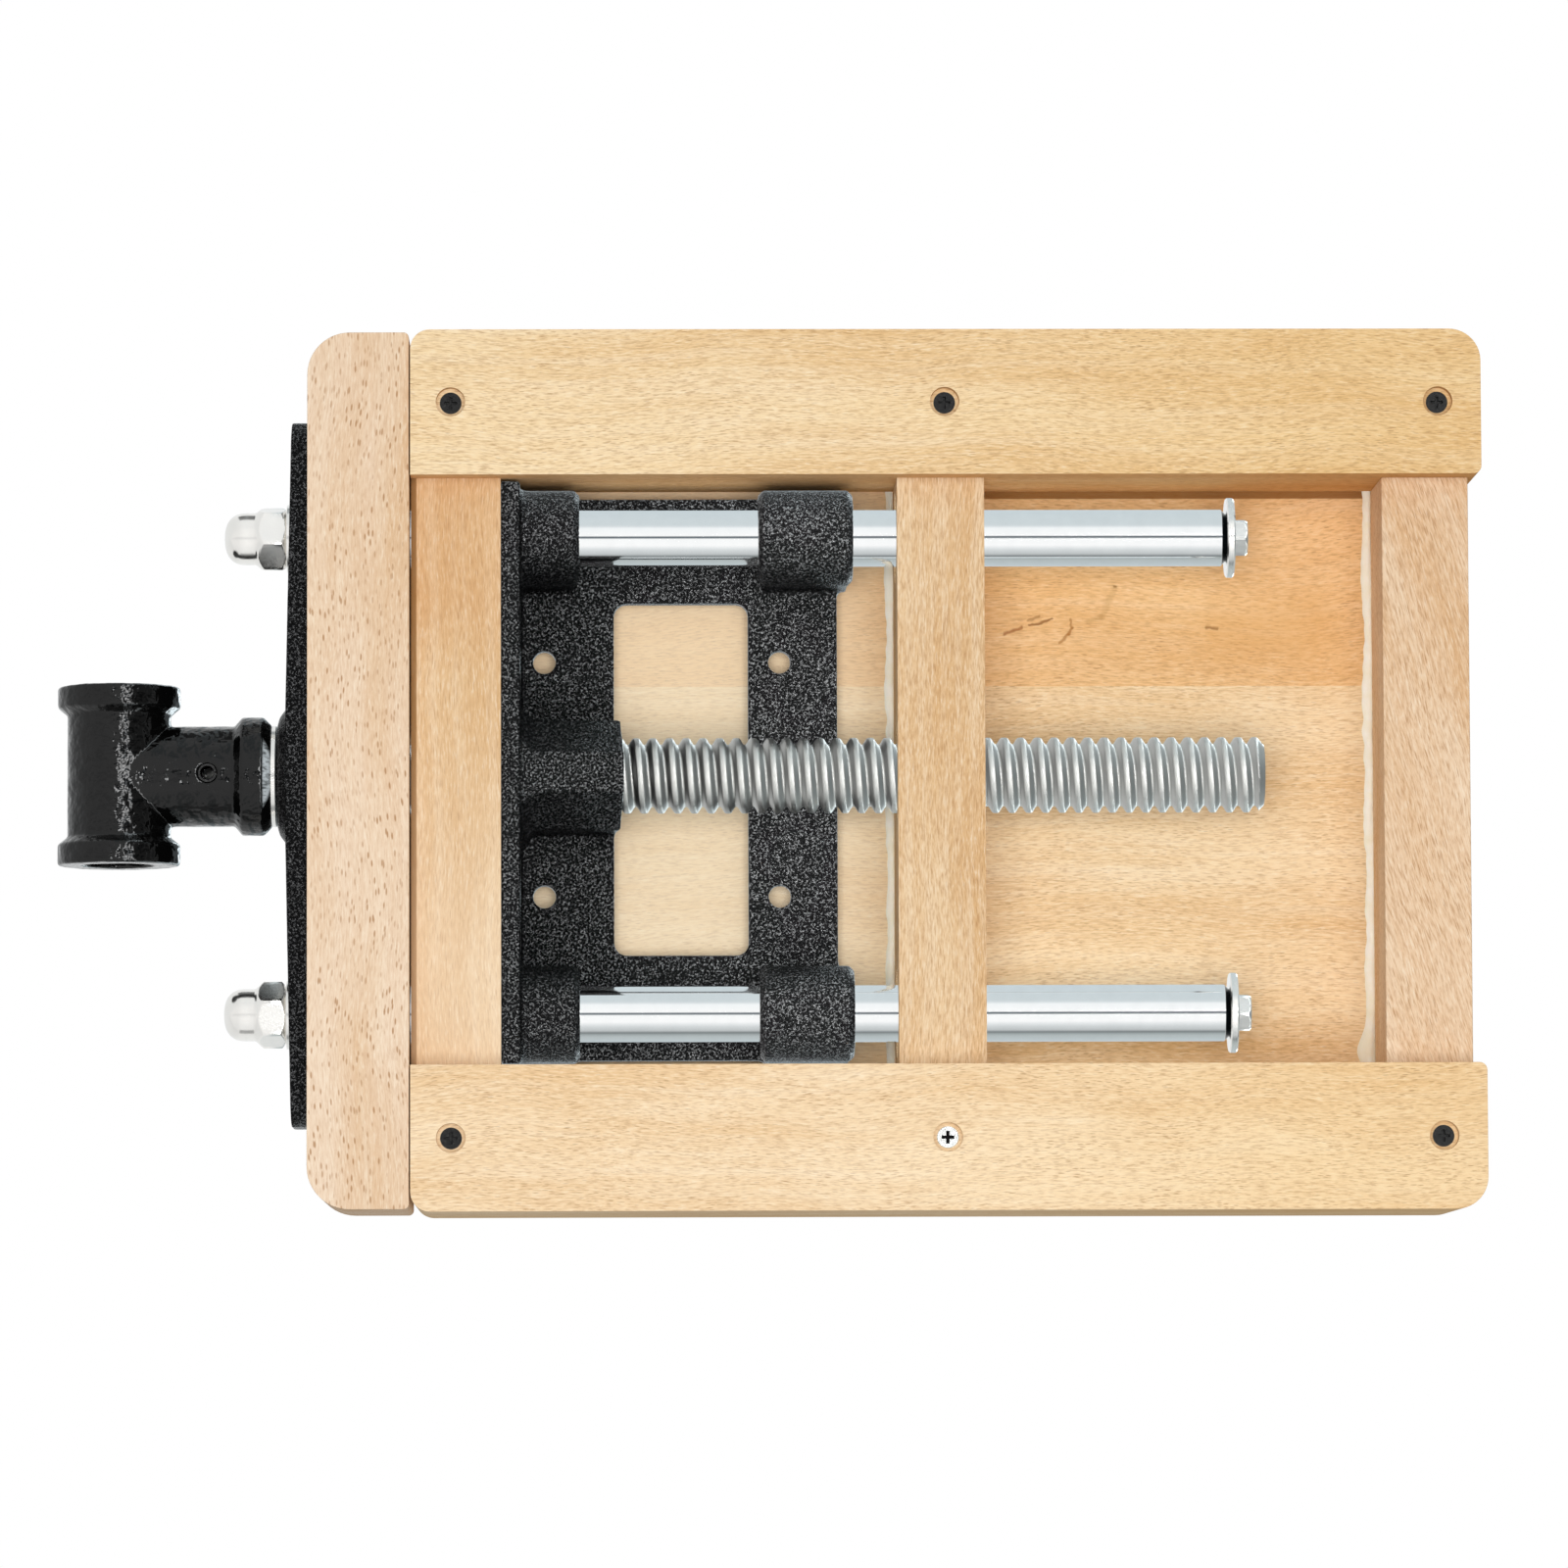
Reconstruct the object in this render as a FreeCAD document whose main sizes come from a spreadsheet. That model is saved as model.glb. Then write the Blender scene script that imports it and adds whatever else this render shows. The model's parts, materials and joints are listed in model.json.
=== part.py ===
import FreeCAD, Part
import os
import re
import Sketcher

# A bench-top woodworking vise: a beech box body with an iron bracket under its board, and a beech
# jaw that one lead screw draws in and two steel guide rods keep square. Millimetres, +Z up, the
# screw along X with the jaw and the handle tee at -X. The origin is on the resting plane, at the
# middle of the whole length with the jaw closed.

# Driving dimensions, each written once.
SIZES = {
    # Beech body
    "rail_length": 403.7,
    "rail_width": 55.0,
    "rail_height": 60.0,
    "body_width": 332.0,
    "board_thickness": 26.0,
    "front_corner_radius": 7.4,
    "rear_corner_radius": 12.0,
    "inner_corner_radius": 3.0,
    "cross_recess": 12.0,
    "front_rail_thickness": 31.7,
    "front_rail_inset": 2.2,
    "brace_thickness": 33.0,
    "brace_setback": 183.5,
    "brace_hole_clearance": 1.9,
    "rear_rail_thickness": 32.7,
    "rear_rail_inset": 4.1,
    # Wood screws, long in the rails and short through the iron
    "rail_screw_margin": 15.2,
    "rail_screw_rear_margin": 16.3,
    "rail_screw_sink": 4.5,
    "rail_screw_length": 72.0,
    "counterbore_diameter": 11.0,
    "screw_head_diameter": 8.2,
    "screw_head_depth": 2.6,
    "screw_shank_diameter": 4.2,
    "screw_tip_length": 6.0,
    "short_screw_length": 28.0,
    "recess_width": 1.1,
    "recess_span": 4.6,
    "recess_depth": 1.6,
    "screw_hole_clearance": 0.2,
    # Moving jaw
    "jaw_thickness": 38.2,
    "jaw_side_inset": 1.0,
    "jaw_floor_gap": 1.0,
    "jaw_corner_radius": 16.0,
    "jaw_inner_radius": 2.0,
    "closed_gap": 0.5,
    "jaw_hole_clearance": 0.4,
    "jaw_screw_inner": 55.0,
    "jaw_screw_margin": 15.4,
    # Front plate
    "plate_end_margin": 31.6,
    "plate_middle_thickness": 8.7,
    "plate_end_thickness": 6.5,
    "plate_middle_height": 62.0,
    "plate_end_height": 44.0,
    "plate_straight": 60.0,
    "plate_corner_radius": 12.0,
    "hub_base_diameter": 52.0,
    "hub_shoulder_diameter": 45.0,
    "hub_shoulder_height": 2.6,
    "hub_face_diameter": 39.0,
    "hub_height": 3.5,
    # Guide rods and what is on their ends
    "axis_drop": 24.0,
    "rod_edge_distance": 20.5,
    "rod_diameter": 21.5,
    "rod_length": 348.0,
    "rod_chamfer": 1.0,
    "stud_diameter": 14.0,
    "stud_length": 25.0,
    "nut_across_flats": 22.0,
    "nut_hex_height": 11.0,
    "nut_dome_diameter": 20.5,
    "nut_height": 23.7,
    "nut_washer_diameter": 26.0,
    "nut_washer_thickness": 1.5,
    "end_washer_diameter": 30.3,
    "end_washer_thickness": 3.0,
    "bolt_diameter": 8.0,
    "bolt_length": 18.0,
    "bolt_across_flats": 13.0,
    "bolt_head_height": 5.3,
    "thread_clearance": 0.1,
    # Lead screw, its collar and its washer
    "lead_diameter": 28.6,
    "lead_pitch": 6.35,
    "lead_thread_length": 349.5,
    "shank_diameter": 20.4,
    "fit_clearance": 0.06,
    "running_gap": 0.3,
    "collar_diameter": 34.0,
    "collar_length": 12.0,
    "collar_pin_diameter": 5.0,
    "collar_recess_clearance": 2.0,
    "thrust_washer_diameter": 38.3,
    "thrust_washer_thickness": 2.0,
    # Handle tee
    "tee_length": 67.7,
    "tee_reach": 57.8,
    "tee_diameter": 39.0,
    "tee_band_diameter": 46.4,
    "tee_band_width": 7.8,
    "tee_band_fillet": 3.0,
    "handle_bore": 26.5,
    "branch_diameter": 38.0,
    "branch_band_diameter": 44.8,
    "branch_band_width": 11.0,
    "branch_chamfer": 3.0,
    "tee_web": 2.5,
    "tee_edge_round": 1.2,
    "tee_pin_diameter": 7.0,
    "tee_pin_wall": 1.0,
    "tee_pin_setback": 23.6,
    # Rear bracket casting
    "flange_thickness": 7.2,
    "flange_side_gap": 1.0,
    "flange_drop": 22.0,
    "bed_thickness": 8.0,
    "bed_length": 127.8,
    "bed_side_gap": 3.7,
    "rod_boss_wall": 7.4,
    "front_boss_length": 22.4,
    "rear_boss_lap": 30.3,
    "rear_boss_length": 35.9,
    "boss_bevel": 2.0,
    "nut_boss_length": 39.2,
    "nut_boss_ridge": 14.8,
    "nut_boss_width": 41.8,
    "nut_boss_drop": 20.0,
    "nut_boss_shoulder": 4.0,
    "nut_boss_rake": 3.8,
    "nut_boss_flare": 5.0,
    "window_rear_margin": 34.0,
    "window_side_margin": 5.0,
    "window_corner_radius": 4.8,
    "bed_corner_radius": 4.0,
    "bed_hole_diameter": 8.7,
    "bed_hole_start": 16.1,
    "bed_hole_margin": 22.0,
    "bed_hole_spacing": 89.6,
    "flange_screw_gap": 10.1,
}

# Sizes and places worked out from the driving ones.
LAYOUT = {
    "axis_height": "rail_height - axis_drop",
    "rail_screw_pitch": "(rail_length - rail_screw_margin - rail_screw_rear_margin) / 2",
    "jaw_height": "rail_height + board_thickness - jaw_floor_gap",
    "jaw_width": "body_width - 2 * jaw_side_inset",
    "plate_length": "jaw_width - 2 * plate_end_margin",
    "jaw_screw_outer": "plate_length / 2 - jaw_screw_margin",
    "front_reach": "closed_gap + jaw_thickness + plate_middle_thickness + hub_height + running_gap"
                   " + thrust_washer_thickness + tee_reach + tee_band_diameter / 2",
    "body_front": "(front_reach - rail_length) / 2",
    "body_rear": "body_front + rail_length",
    "rail_middle": "(body_width - rail_width) / 2",
    "cross_width": "body_width - 2 * rail_width",
    "front_rail_front": "body_front + front_rail_inset",
    "flange_front": "front_rail_front + front_rail_thickness",
    "brace_front": "body_front + brace_setback",
    "rear_rail_front": "body_rear - rear_rail_inset - rear_rail_thickness",
    "jaw_inner": "body_front - closed_gap",
    "plate_back": "jaw_inner - jaw_thickness",
    "plate_middle_front": "plate_back - plate_middle_thickness",
    "hub_face": "plate_middle_front - hub_height",
    "washer_face": "hub_face - running_gap",
    "branch_face": "washer_face - thrust_washer_thickness",
    "tee_axis": "branch_face - tee_reach",
    "collar_front": "plate_back + running_gap",
    "thread_start": "collar_front + collar_length",
    "socket_depth": "tee_reach - handle_bore / 2 - tee_web",
    "socket_end": "branch_face - socket_depth",
    "rod_spacing": "cross_width - 2 * rod_edge_distance",
    "rod_offset": "rod_spacing / 2",
    "rod_end": "plate_back + rod_length",
    "rod_bore": "rod_diameter + 2 * fit_clearance",
    "rod_boss_diameter": "rod_bore + 2 * rod_boss_wall",
    "flange_width": "cross_width - 2 * flange_side_gap",
    "bed_width": "cross_width - 2 * bed_side_gap",
    "rear_boss_start": "bed_length - rear_boss_lap",
    "window_start": "flange_thickness + nut_boss_length - nut_boss_rake",
    "window_length": "bed_length - window_start - window_rear_margin",
    "window_width": "rod_spacing - rod_boss_diameter - 2 * window_side_margin",
    "bed_hole_pitch": "bed_length - bed_hole_start - bed_hole_margin",
    "flange_screw_inner": "nut_boss_width / 2 + nut_boss_flare + flange_screw_gap",
    "flange_screw_outer": "rod_offset - rod_boss_diameter / 2 - flange_screw_gap",
    "rod_front_thickness": "plate_middle_thickness - (plate_middle_thickness - plate_end_thickness)"
                           " * rod_spacing / plate_length",
    "nut_seat": "plate_back - rod_front_thickness",
    "nut_face": "nut_seat - nut_washer_thickness",
    "lead_bore": "lead_diameter + 2 * fit_clearance",
    "lead_root": "lead_diameter - 0.8 * lead_pitch",
    "brace_hole_diameter": "end_washer_diameter + 2 * brace_hole_clearance",
    "jaw_rod_hole": "rod_diameter + 2 * jaw_hole_clearance",
    "jaw_lead_hole": "lead_diameter + 2 * brace_hole_clearance",
    "collar_recess_diameter": "collar_diameter + 2 * collar_recess_clearance",
    "collar_recess_depth": "running_gap + collar_length + collar_recess_clearance",
    "stud_bore": "stud_diameter + 2 * thread_clearance",
    "bolt_bore": "bolt_diameter + 2 * thread_clearance",
    "shank_bore": "shank_diameter + 2 * fit_clearance",
    "screw_hole": "screw_shank_diameter + screw_hole_clearance",
    "screw_head_hole": "screw_head_diameter + screw_hole_clearance",
}

SIDES = (("left", 1), ("right", -1))

FACING = {
    "+X": FreeCAD.Rotation(FreeCAD.Vector(0, 1, 0), 90),
    "-X": FreeCAD.Rotation(FreeCAD.Vector(0, 1, 0), -90),
    "+Y": FreeCAD.Rotation(FreeCAD.Vector(1, 0, 0), -90),
    "+Z": FreeCAD.Rotation(),
}

document = FreeCAD.newDocument("BenchTopVise")
sheet = document.addObject("Spreadsheet::Sheet", "Sizes")


def fill_sheet():
    """Write the driving sizes as numbers and the worked-out ones as formulas."""
    rows = [(alias, str(number)) for alias, number in SIZES.items()]
    rows += [(alias, "=" + formula) for alias, formula in LAYOUT.items()]
    for row, (alias, content) in enumerate(rows, 1):
        sheet.set("A%d" % row, alias)
        sheet.set("B%d" % row, content)
        sheet.setAlias("B%d" % row, alias)
    document.recompute()


def tied(formula):
    """A formula of size names, as an expression that reads the sheet."""
    return re.sub(r"[a-z]\w*", r"Sizes.\g<0>", formula)


def size(formula):
    """The present value of a formula of size names."""
    return float(sheet.evalExpression(tied(formula)))


def bind(thing, **formulas):
    for name, formula in formulas.items():
        thing.setExpression(name.replace("__", "."), tied(formula))


def place(thing, x="0", y="0", z="0", facing="+Z"):
    """Put a body or a primitive at a point given by formulas, its own Z axis turned to facing."""
    thing.Placement = FreeCAD.Placement(FreeCAD.Vector(), FACING[facing])
    bind(thing, Placement__Base__x=x, Placement__Base__y=y, Placement__Base__z=z)
    return thing


def new_body(label):
    body = document.addObject("PartDesign::Body", label)
    body.Label = label
    return body


def origin_plane(body, role):
    return next(plane for plane in body.Origin.OriginFeatures if plane.Role == role)


def sketch_on(body, name, role, offset="0"):
    """A sketch on one of the body's own origin planes, moved along that plane's normal."""
    sketch = body.newObject("Sketcher::SketchObject", name)
    sketch.AttachmentSupport = [(origin_plane(body, role), "")]
    sketch.MapMode = "FlatFace"
    bind(sketch, AttachmentOffset__Base__z=offset)
    return sketch


def hold_point(sketch, line, corner):
    """Tie the start of a line to a corner given by two formulas."""
    for way, other_axis, formula in (("DistanceX", -2, corner[0]), ("DistanceY", -1, corner[1])):
        if formula == "0":
            sketch.addConstraint(Sketcher.Constraint("PointOnObject", line, 1, other_axis))
            continue
        rule = Sketcher.Constraint(way, -1, 1, line, 1, size(formula))
        number = sketch.addConstraint(rule)
        sketch.setExpression("Constraints[%d]" % number, tied(formula))


def outline(sketch, corners):
    """A closed run of straight edges through corners, each a pair of formulas."""
    points = [FreeCAD.Vector(size(across), size(up), 0) for across, up in corners]
    first = sketch.GeometryCount
    for start, end in zip(points, points[1:] + points[:1]):
        sketch.addGeometry(Part.LineSegment(start, end))
    count = len(corners)
    for number in range(count):
        following = first + (number + 1) % count
        sketch.addConstraint(Sketcher.Constraint("Coincident", first + number, 2, following, 1))
    for number, corner in enumerate(corners):
        hold_point(sketch, first + number, corner)


def rectangle(left, right, low, high):
    return [(left, low), (right, low), (right, high), (left, high)]


def padded(body, name, role, corners, length, offset="0"):
    """A pad along the plane's normal from a straight-edged outline."""
    sketch = sketch_on(body, name + "_outline", role, offset)
    outline(sketch, corners)
    pad = body.newObject("PartDesign::Pad", name)
    pad.Profile = sketch
    bind(pad, Length=length)


def pocketed(body, name, role, corners, length, offset="0"):
    """A pocket along the plane's normal from a straight-edged outline."""
    sketch = sketch_on(body, name + "_outline", role, offset)
    outline(sketch, corners)
    pocket = body.newObject("PartDesign::Pocket", name)
    pocket.Profile = sketch
    pocket.Reversed = True
    bind(pocket, Length=length)


def turned(body, name, corners, axis="H_Axis"):
    """A solid turned about the body's X axis, or its Y axis for V_Axis."""
    sketch = sketch_on(body, name + "_profile", "XY_Plane")
    outline(sketch, corners)
    turning = body.newObject("PartDesign::Revolution", name)
    turning.Profile = sketch
    turning.ReferenceAxis = (sketch, [axis])
    turning.Angle = 360


def round_cut(body, name, diameter, length, x="0", y="0", z="0", facing="+X"):
    """A round hole that starts at a point and runs the way it faces."""
    cut = body.newObject("PartDesign::SubtractiveCylinder", name)
    bind(cut, Radius="(%s) / 2" % diameter, Height=length)
    place(cut, x, y, z, facing)


def cone_cut(body, name, diameter, depth, x="0", y="0", z="0", facing="+X"):
    """A countersink, widest at its start point, down to a screw's hole."""
    cut = body.newObject("PartDesign::SubtractiveCone", name)
    bind(cut, Radius1="(%s) / 2" % diameter, Radius2="screw_hole / 2", Height=depth)
    place(cut, x, y, z, facing)


def rounded(body, name, radius, chosen):
    """Round the tip's edges that chosen picks."""
    document.recompute()
    base = body.Tip
    names = ["Edge%d" % n for n, edge in enumerate(base.Shape.Edges, 1) if chosen(edge)]
    fillet = body.newObject("PartDesign::Fillet", name)
    fillet.Base = (base, names)
    bind(fillet, Radius=radius)


def runs_along(edge, axis):
    """Whether an edge is straight and parallel to an axis."""
    if edge.Curve.TypeId != "Part::GeomLine":
        return False
    return abs(edge.Curve.Direction.dot(axis)) > 0.999


def at(edge, **places):
    """Whether an edge's middle lies at each given coordinate."""
    middle = edge.CenterOfMass
    return all(abs(getattr(middle, name) - value) < 0.01 for name, value in places.items())


ALONG_X = FreeCAD.Vector(1, 0, 0)
UPRIGHT = FreeCAD.Vector(0, 0, 1)


def grouped(label, members):
    """Like fasteners as one node of separate solids."""
    group = document.addObject("Part::Compound", label)
    group.Label = label
    group.Links = members
    return group


def top_board():
    body = new_body("top_board")
    place(body, x="body_front", z="rail_height")
    padded(body, "panel", "XY_Plane",
           rectangle("0", "rail_length", "-body_width / 2", "body_width / 2"), "board_thickness")
    rounded(body, "front_corners", "front_corner_radius",
            lambda edge: runs_along(edge, UPRIGHT) and at(edge, x=0))
    rounded(body, "rear_corners", "rear_corner_radius",
            lambda edge: runs_along(edge, UPRIGHT) and at(edge, x=size("rail_length")))
    for number in range(3):
        x = "rail_screw_margin + %d * rail_screw_pitch" % number
        depth = "rail_screw_sink + rail_screw_length - rail_height + screw_hole_clearance"
        for name, side in SIDES:
            round_cut(body, "%s_pilot_%d" % (name, number), "screw_hole", depth, x,
                      "%d * rail_middle" % side, "0", "+Z")
    return body


def side_rail(label, side):
    """A rail with its outer corners rounded; side is 1 for left, -1 for right."""
    body = new_body(label)
    place(body, x="body_front", y="%d * rail_middle" % side)
    padded(body, "bar", "XY_Plane",
           rectangle("0", "rail_length", "-rail_width / 2", "rail_width / 2"), "rail_height")
    outer = side * size("rail_width") / 2
    rounded(body, "front_corner", "front_corner_radius",
            lambda edge: runs_along(edge, UPRIGHT) and at(edge, x=0, y=outer))
    rounded(body, "rear_corner", "rear_corner_radius",
            lambda edge: runs_along(edge, UPRIGHT) and at(edge, x=size("rail_length"), y=outer))
    rounded(body, "rear_inner_corner", "inner_corner_radius",
            lambda edge: runs_along(edge, UPRIGHT) and at(edge, x=size("rail_length"), y=-outer))
    for number in range(3):
        x = "rail_screw_margin + %d * rail_screw_pitch" % number
        round_cut(body, "hole_%d" % number, "screw_hole", "rail_height", x, facing="+Z")
        round_cut(body, "counterbore_%d" % number, "counterbore_diameter", "rail_screw_sink", x,
                  facing="+Z")
        cone_cut(body, "countersink_%d" % number, "screw_head_hole", "screw_head_depth", x,
                 z="rail_screw_sink", facing="+Z")
    return body


def cross_member(label, front, thickness):
    """A beech bar between the rails, up under the board."""
    body = new_body(label)
    place(body, x=front, z="axis_height")
    padded(body, "bar", "YZ_Plane",
           rectangle("-cross_width / 2", "cross_width / 2", "cross_recess - axis_height", "axis_drop"),
           thickness)
    return body


def front_cross_rail():
    body = cross_member("front_cross_rail", "front_rail_front", "front_rail_thickness")
    round_cut(body, "lead_hole", "jaw_lead_hole", "front_rail_thickness")
    for name, side in SIDES:
        round_cut(body, name + "_rod_hole", "jaw_rod_hole", "front_rail_thickness",
                  y="%d * rod_offset" % side)
        for row in ("inner", "outer"):
            round_cut(body, "%s_%s_pilot" % (name, row), "screw_hole",
                      "short_screw_length - flange_thickness + screw_hole_clearance",
                      "front_rail_thickness", "%d * flange_screw_%s" % (side, row), facing="-X")
    return body


def middle_brace():
    body = cross_member("middle_brace", "brace_front", "brace_thickness")
    round_cut(body, "lead_hole", "brace_hole_diameter", "brace_thickness")
    for name, side in SIDES:
        round_cut(body, name + "_rod_hole", "brace_hole_diameter", "brace_thickness",
                  y="%d * rod_offset" % side)
    return body


def wood_screw(label, length, x, y, z, facing):
    """A countersunk cross-head screw; its head's flat is at the point and it runs as it faces."""
    body = new_body(label)
    place(body, x, y, z, facing)
    sketch = sketch_on(body, "half_profile", "XZ_Plane")
    outline(sketch, [("0", "0"), ("screw_head_diameter / 2", "0"),
                     ("screw_shank_diameter / 2", "screw_head_depth"),
                     ("screw_shank_diameter / 2", length + " - screw_tip_length"), ("0", length)])
    turning = body.newObject("PartDesign::Revolution", "blank")
    turning.Profile = sketch
    turning.ReferenceAxis = (sketch, ["V_Axis"])
    turning.Angle = 360
    for name, across, up in (("slot", "recess_span", "recess_width"),
                             ("cross_slot", "recess_width", "recess_span")):
        slot = body.newObject("PartDesign::SubtractiveBox", name)
        bind(slot, Length=across, Width=up, Height="recess_depth")
        place(slot, "-(%s) / 2" % across, "-(%s) / 2" % up)
    return body


def rail_screw(label, number, side):
    return wood_screw(label, "rail_screw_length",
                      "body_front + rail_screw_margin + %d * rail_screw_pitch" % number,
                      "%d * rail_middle" % side, "rail_screw_sink", "+Z")


def rail_screws():
    """The five black screws; the bright one fills the sixth hole."""
    spots = [(number, side) for side in (-1, 1) for number in range(3) if (number, side) != (1, 1)]
    return grouped("rail_screws", [rail_screw("rail_screw_%d" % count, number, side)
                                   for count, (number, side) in enumerate(spots, 1)])


def short_screws(label, face, inner, outer, facing):
    """Four countersunk screws on the screw axis' level, two on each side."""
    spots = ["-" + outer, "-" + inner, inner, outer]
    return grouped(label, [wood_screw("%s_%d" % (label, count), "short_screw_length", face, y,
                                      "axis_height", facing)
                           for count, y in enumerate(spots, 1)])


def rear_bracket():
    """The bed, flange, rod bosses and nut boss in one casting, with its origin on the screw's axis."""
    body = new_body("rear_bracket")
    place(body, x="flange_front", z="axis_height")
    padded(body, "bed", "XY_Plane",
           rectangle("0", "bed_length", "-bed_width / 2", "bed_width / 2"), "bed_thickness",
           "axis_drop - bed_thickness")
    rounded(body, "bed_corners", "bed_corner_radius",
            lambda edge: runs_along(edge, UPRIGHT) and at(edge, x=size("bed_length")))
    padded(body, "flange", "YZ_Plane",
           rectangle("-flange_width / 2", "flange_width / 2", "-flange_drop", "axis_drop"),
           "flange_thickness")
    pocketed(body, "window", "XY_Plane",
             rectangle("window_start", "window_start + window_length",
                       "-window_width / 2", "window_width / 2"),
             "bed_thickness", "axis_drop - bed_thickness")
    rounded(body, "window_corners", "window_corner_radius",
            lambda edge: runs_along(edge, UPRIGHT) and abs(abs(edge.CenterOfMass.y)
                                                           - size("window_width / 2")) < 0.01
            and abs(edge.CenterOfMass.x - size("window_start + window_length / 2"))
            < size("window_length / 2") + 0.01)
    rod_bosses(body)
    nut_boss(body)
    bracket_holes(body)
    return body


def rod_boss(body, label, middle, start, length, front_bevel):
    """A round-bottomed boss on the rod's axis, with straight sides that run up into the bed."""
    bevels = [("rear_bevel", "%s + %s - boss_bevel" % (start, length), "+X")]
    if front_bevel:
        bevels.append(("front_bevel", start + " + boss_bevel", "-X"))
        start, length = start + " + boss_bevel", length + " - boss_bevel"
    length += " - boss_bevel"
    barrel = body.newObject("PartDesign::AdditiveCylinder", label)
    bind(barrel, Radius="rod_boss_diameter / 2", Height=length)
    place(barrel, start, middle, "0", "+X")
    for name, x, facing in bevels:
        bevel = body.newObject("PartDesign::AdditiveCone", label + "_" + name)
        bind(bevel, Radius1="rod_boss_diameter / 2", Radius2="rod_boss_diameter / 2 - boss_bevel",
             Height="boss_bevel")
        place(bevel, x, middle, "0", facing)
    padded(body, label + "_sides", "YZ_Plane",
           rectangle(middle + " - rod_boss_diameter / 2", middle + " + rod_boss_diameter / 2",
                     "0", "axis_drop"), length, start)


def rod_bosses(body):
    """Two bosses on each rod, one behind the flange and one over the bed's rear edge."""
    for hand, side in SIDES:
        middle = "%d * rod_offset" % side
        rod_boss(body, hand + "_front_boss", middle, "flange_thickness", "front_boss_length", False)
        rod_boss(body, hand + "_rear_boss", middle, "rear_boss_start", "rear_boss_length", True)


def nut_section(growth):
    """The nut boss' outline: a flat ridge, two sloping flanks and straight sides up to the bed."""
    ridge, side = "(nut_boss_ridge / 2 + %s)" % growth, "(nut_boss_width / 2 + %s)" % growth
    shoulder = "-nut_boss_shoulder"
    return [("-" + ridge, "-nut_boss_drop"), (ridge, "-nut_boss_drop"), (side, shoulder),
            (side, "axis_drop"), ("-" + side, "axis_drop"), ("-" + side, shoulder)]


def nut_boss(body):
    """The boss that holds the screw's female thread, flared at the flange and raked at its end."""
    padded(body, "nut_ridge", "YZ_Plane", nut_section("0"), "nut_boss_length", "flange_thickness")
    root = sketch_on(body, "nut_flare_root", "YZ_Plane", "flange_thickness")
    outline(root, nut_section("nut_boss_flare"))
    tip = sketch_on(body, "nut_flare_tip", "YZ_Plane", "flange_thickness + nut_boss_flare")
    outline(tip, nut_section("0"))
    flare = body.newObject("PartDesign::AdditiveLoft", "nut_flare")
    flare.Profile = root
    flare.Sections = [tip]
    flare.Ruled = True
    end = "flange_thickness + nut_boss_length"
    sketch = sketch_on(body, "nut_rake_outline", "XZ_Plane")
    outline(sketch, [(end, "-nut_boss_drop"), (end + " + nut_boss_rake", "-nut_boss_drop"),
                     (end + " + nut_boss_rake", "axis_drop"), (end + " - nut_boss_rake", "axis_drop")])
    rake = body.newObject("PartDesign::Pocket", "nut_rake")
    rake.Profile = sketch
    rake.SideType = "Symmetric"
    bind(rake, Length="nut_boss_width + 2 * nut_boss_rake")


def bracket_holes(body):
    """Bores for the screw and rods, the four bed holes and the countersunk flange holes."""
    round_cut(body, "lead_bore", "lead_bore", "flange_thickness + nut_boss_length + nut_boss_rake")
    for hand, side in SIDES:
        round_cut(body, hand + "_rod_bore", "rod_bore", "rear_boss_start + rear_boss_length",
                  y="%d * rod_offset" % side)
        for name, x in (("front", "bed_hole_start"), ("rear", "bed_hole_start + bed_hole_pitch")):
            round_cut(body, "%s_%s_bed_hole" % (hand, name), "bed_hole_diameter", "bed_thickness", x,
                      "%d * bed_hole_spacing / 2" % side, "axis_drop - bed_thickness", "+Z")
        for name in ("inner", "outer"):
            y = "%d * flange_screw_%s" % (side, name)
            round_cut(body, "%s_%s_hole" % (hand, name), "screw_hole", "flange_thickness", y=y)
            cone_cut(body, "%s_%s_countersink" % (hand, name), "screw_head_hole",
                     "screw_head_depth", "flange_thickness", y, facing="-X")


def moving_jaw():
    body = new_body("moving_jaw")
    place(body, x="jaw_inner", z="axis_height")
    padded(body, "block", "YZ_Plane",
           rectangle("-jaw_width / 2", "jaw_width / 2", "jaw_floor_gap - axis_height",
                     "jaw_floor_gap + jaw_height - axis_height"), "jaw_thickness", "-jaw_thickness")
    rounded(body, "outer_corners", "jaw_corner_radius",
            lambda edge: runs_along(edge, UPRIGHT) and at(edge, x=-size("jaw_thickness")))
    rounded(body, "inner_corners", "jaw_inner_radius",
            lambda edge: runs_along(edge, UPRIGHT) and at(edge, x=0))
    round_cut(body, "lead_hole", "jaw_lead_hole", "jaw_thickness", "-jaw_thickness")
    round_cut(body, "collar_recess", "collar_recess_diameter", "collar_recess_depth",
              "-jaw_thickness")
    for hand, side in SIDES:
        round_cut(body, hand + "_rod_hole", "jaw_rod_hole", "jaw_thickness", "-jaw_thickness",
                  "%d * rod_offset" % side)
        for name in ("inner", "outer"):
            round_cut(body, "%s_%s_pilot" % (hand, name), "screw_hole",
                      "short_screw_length - plate_end_thickness", "-jaw_thickness",
                      "%d * jaw_screw_%s" % (side, name))
    return body


def plate_front_at(y):
    """How far the plate's sloping front stands from its back, at a distance from the middle."""
    return "plate_middle_thickness - (plate_middle_thickness - plate_end_thickness)" \
           " * 2 * %s / plate_length" % y


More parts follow.
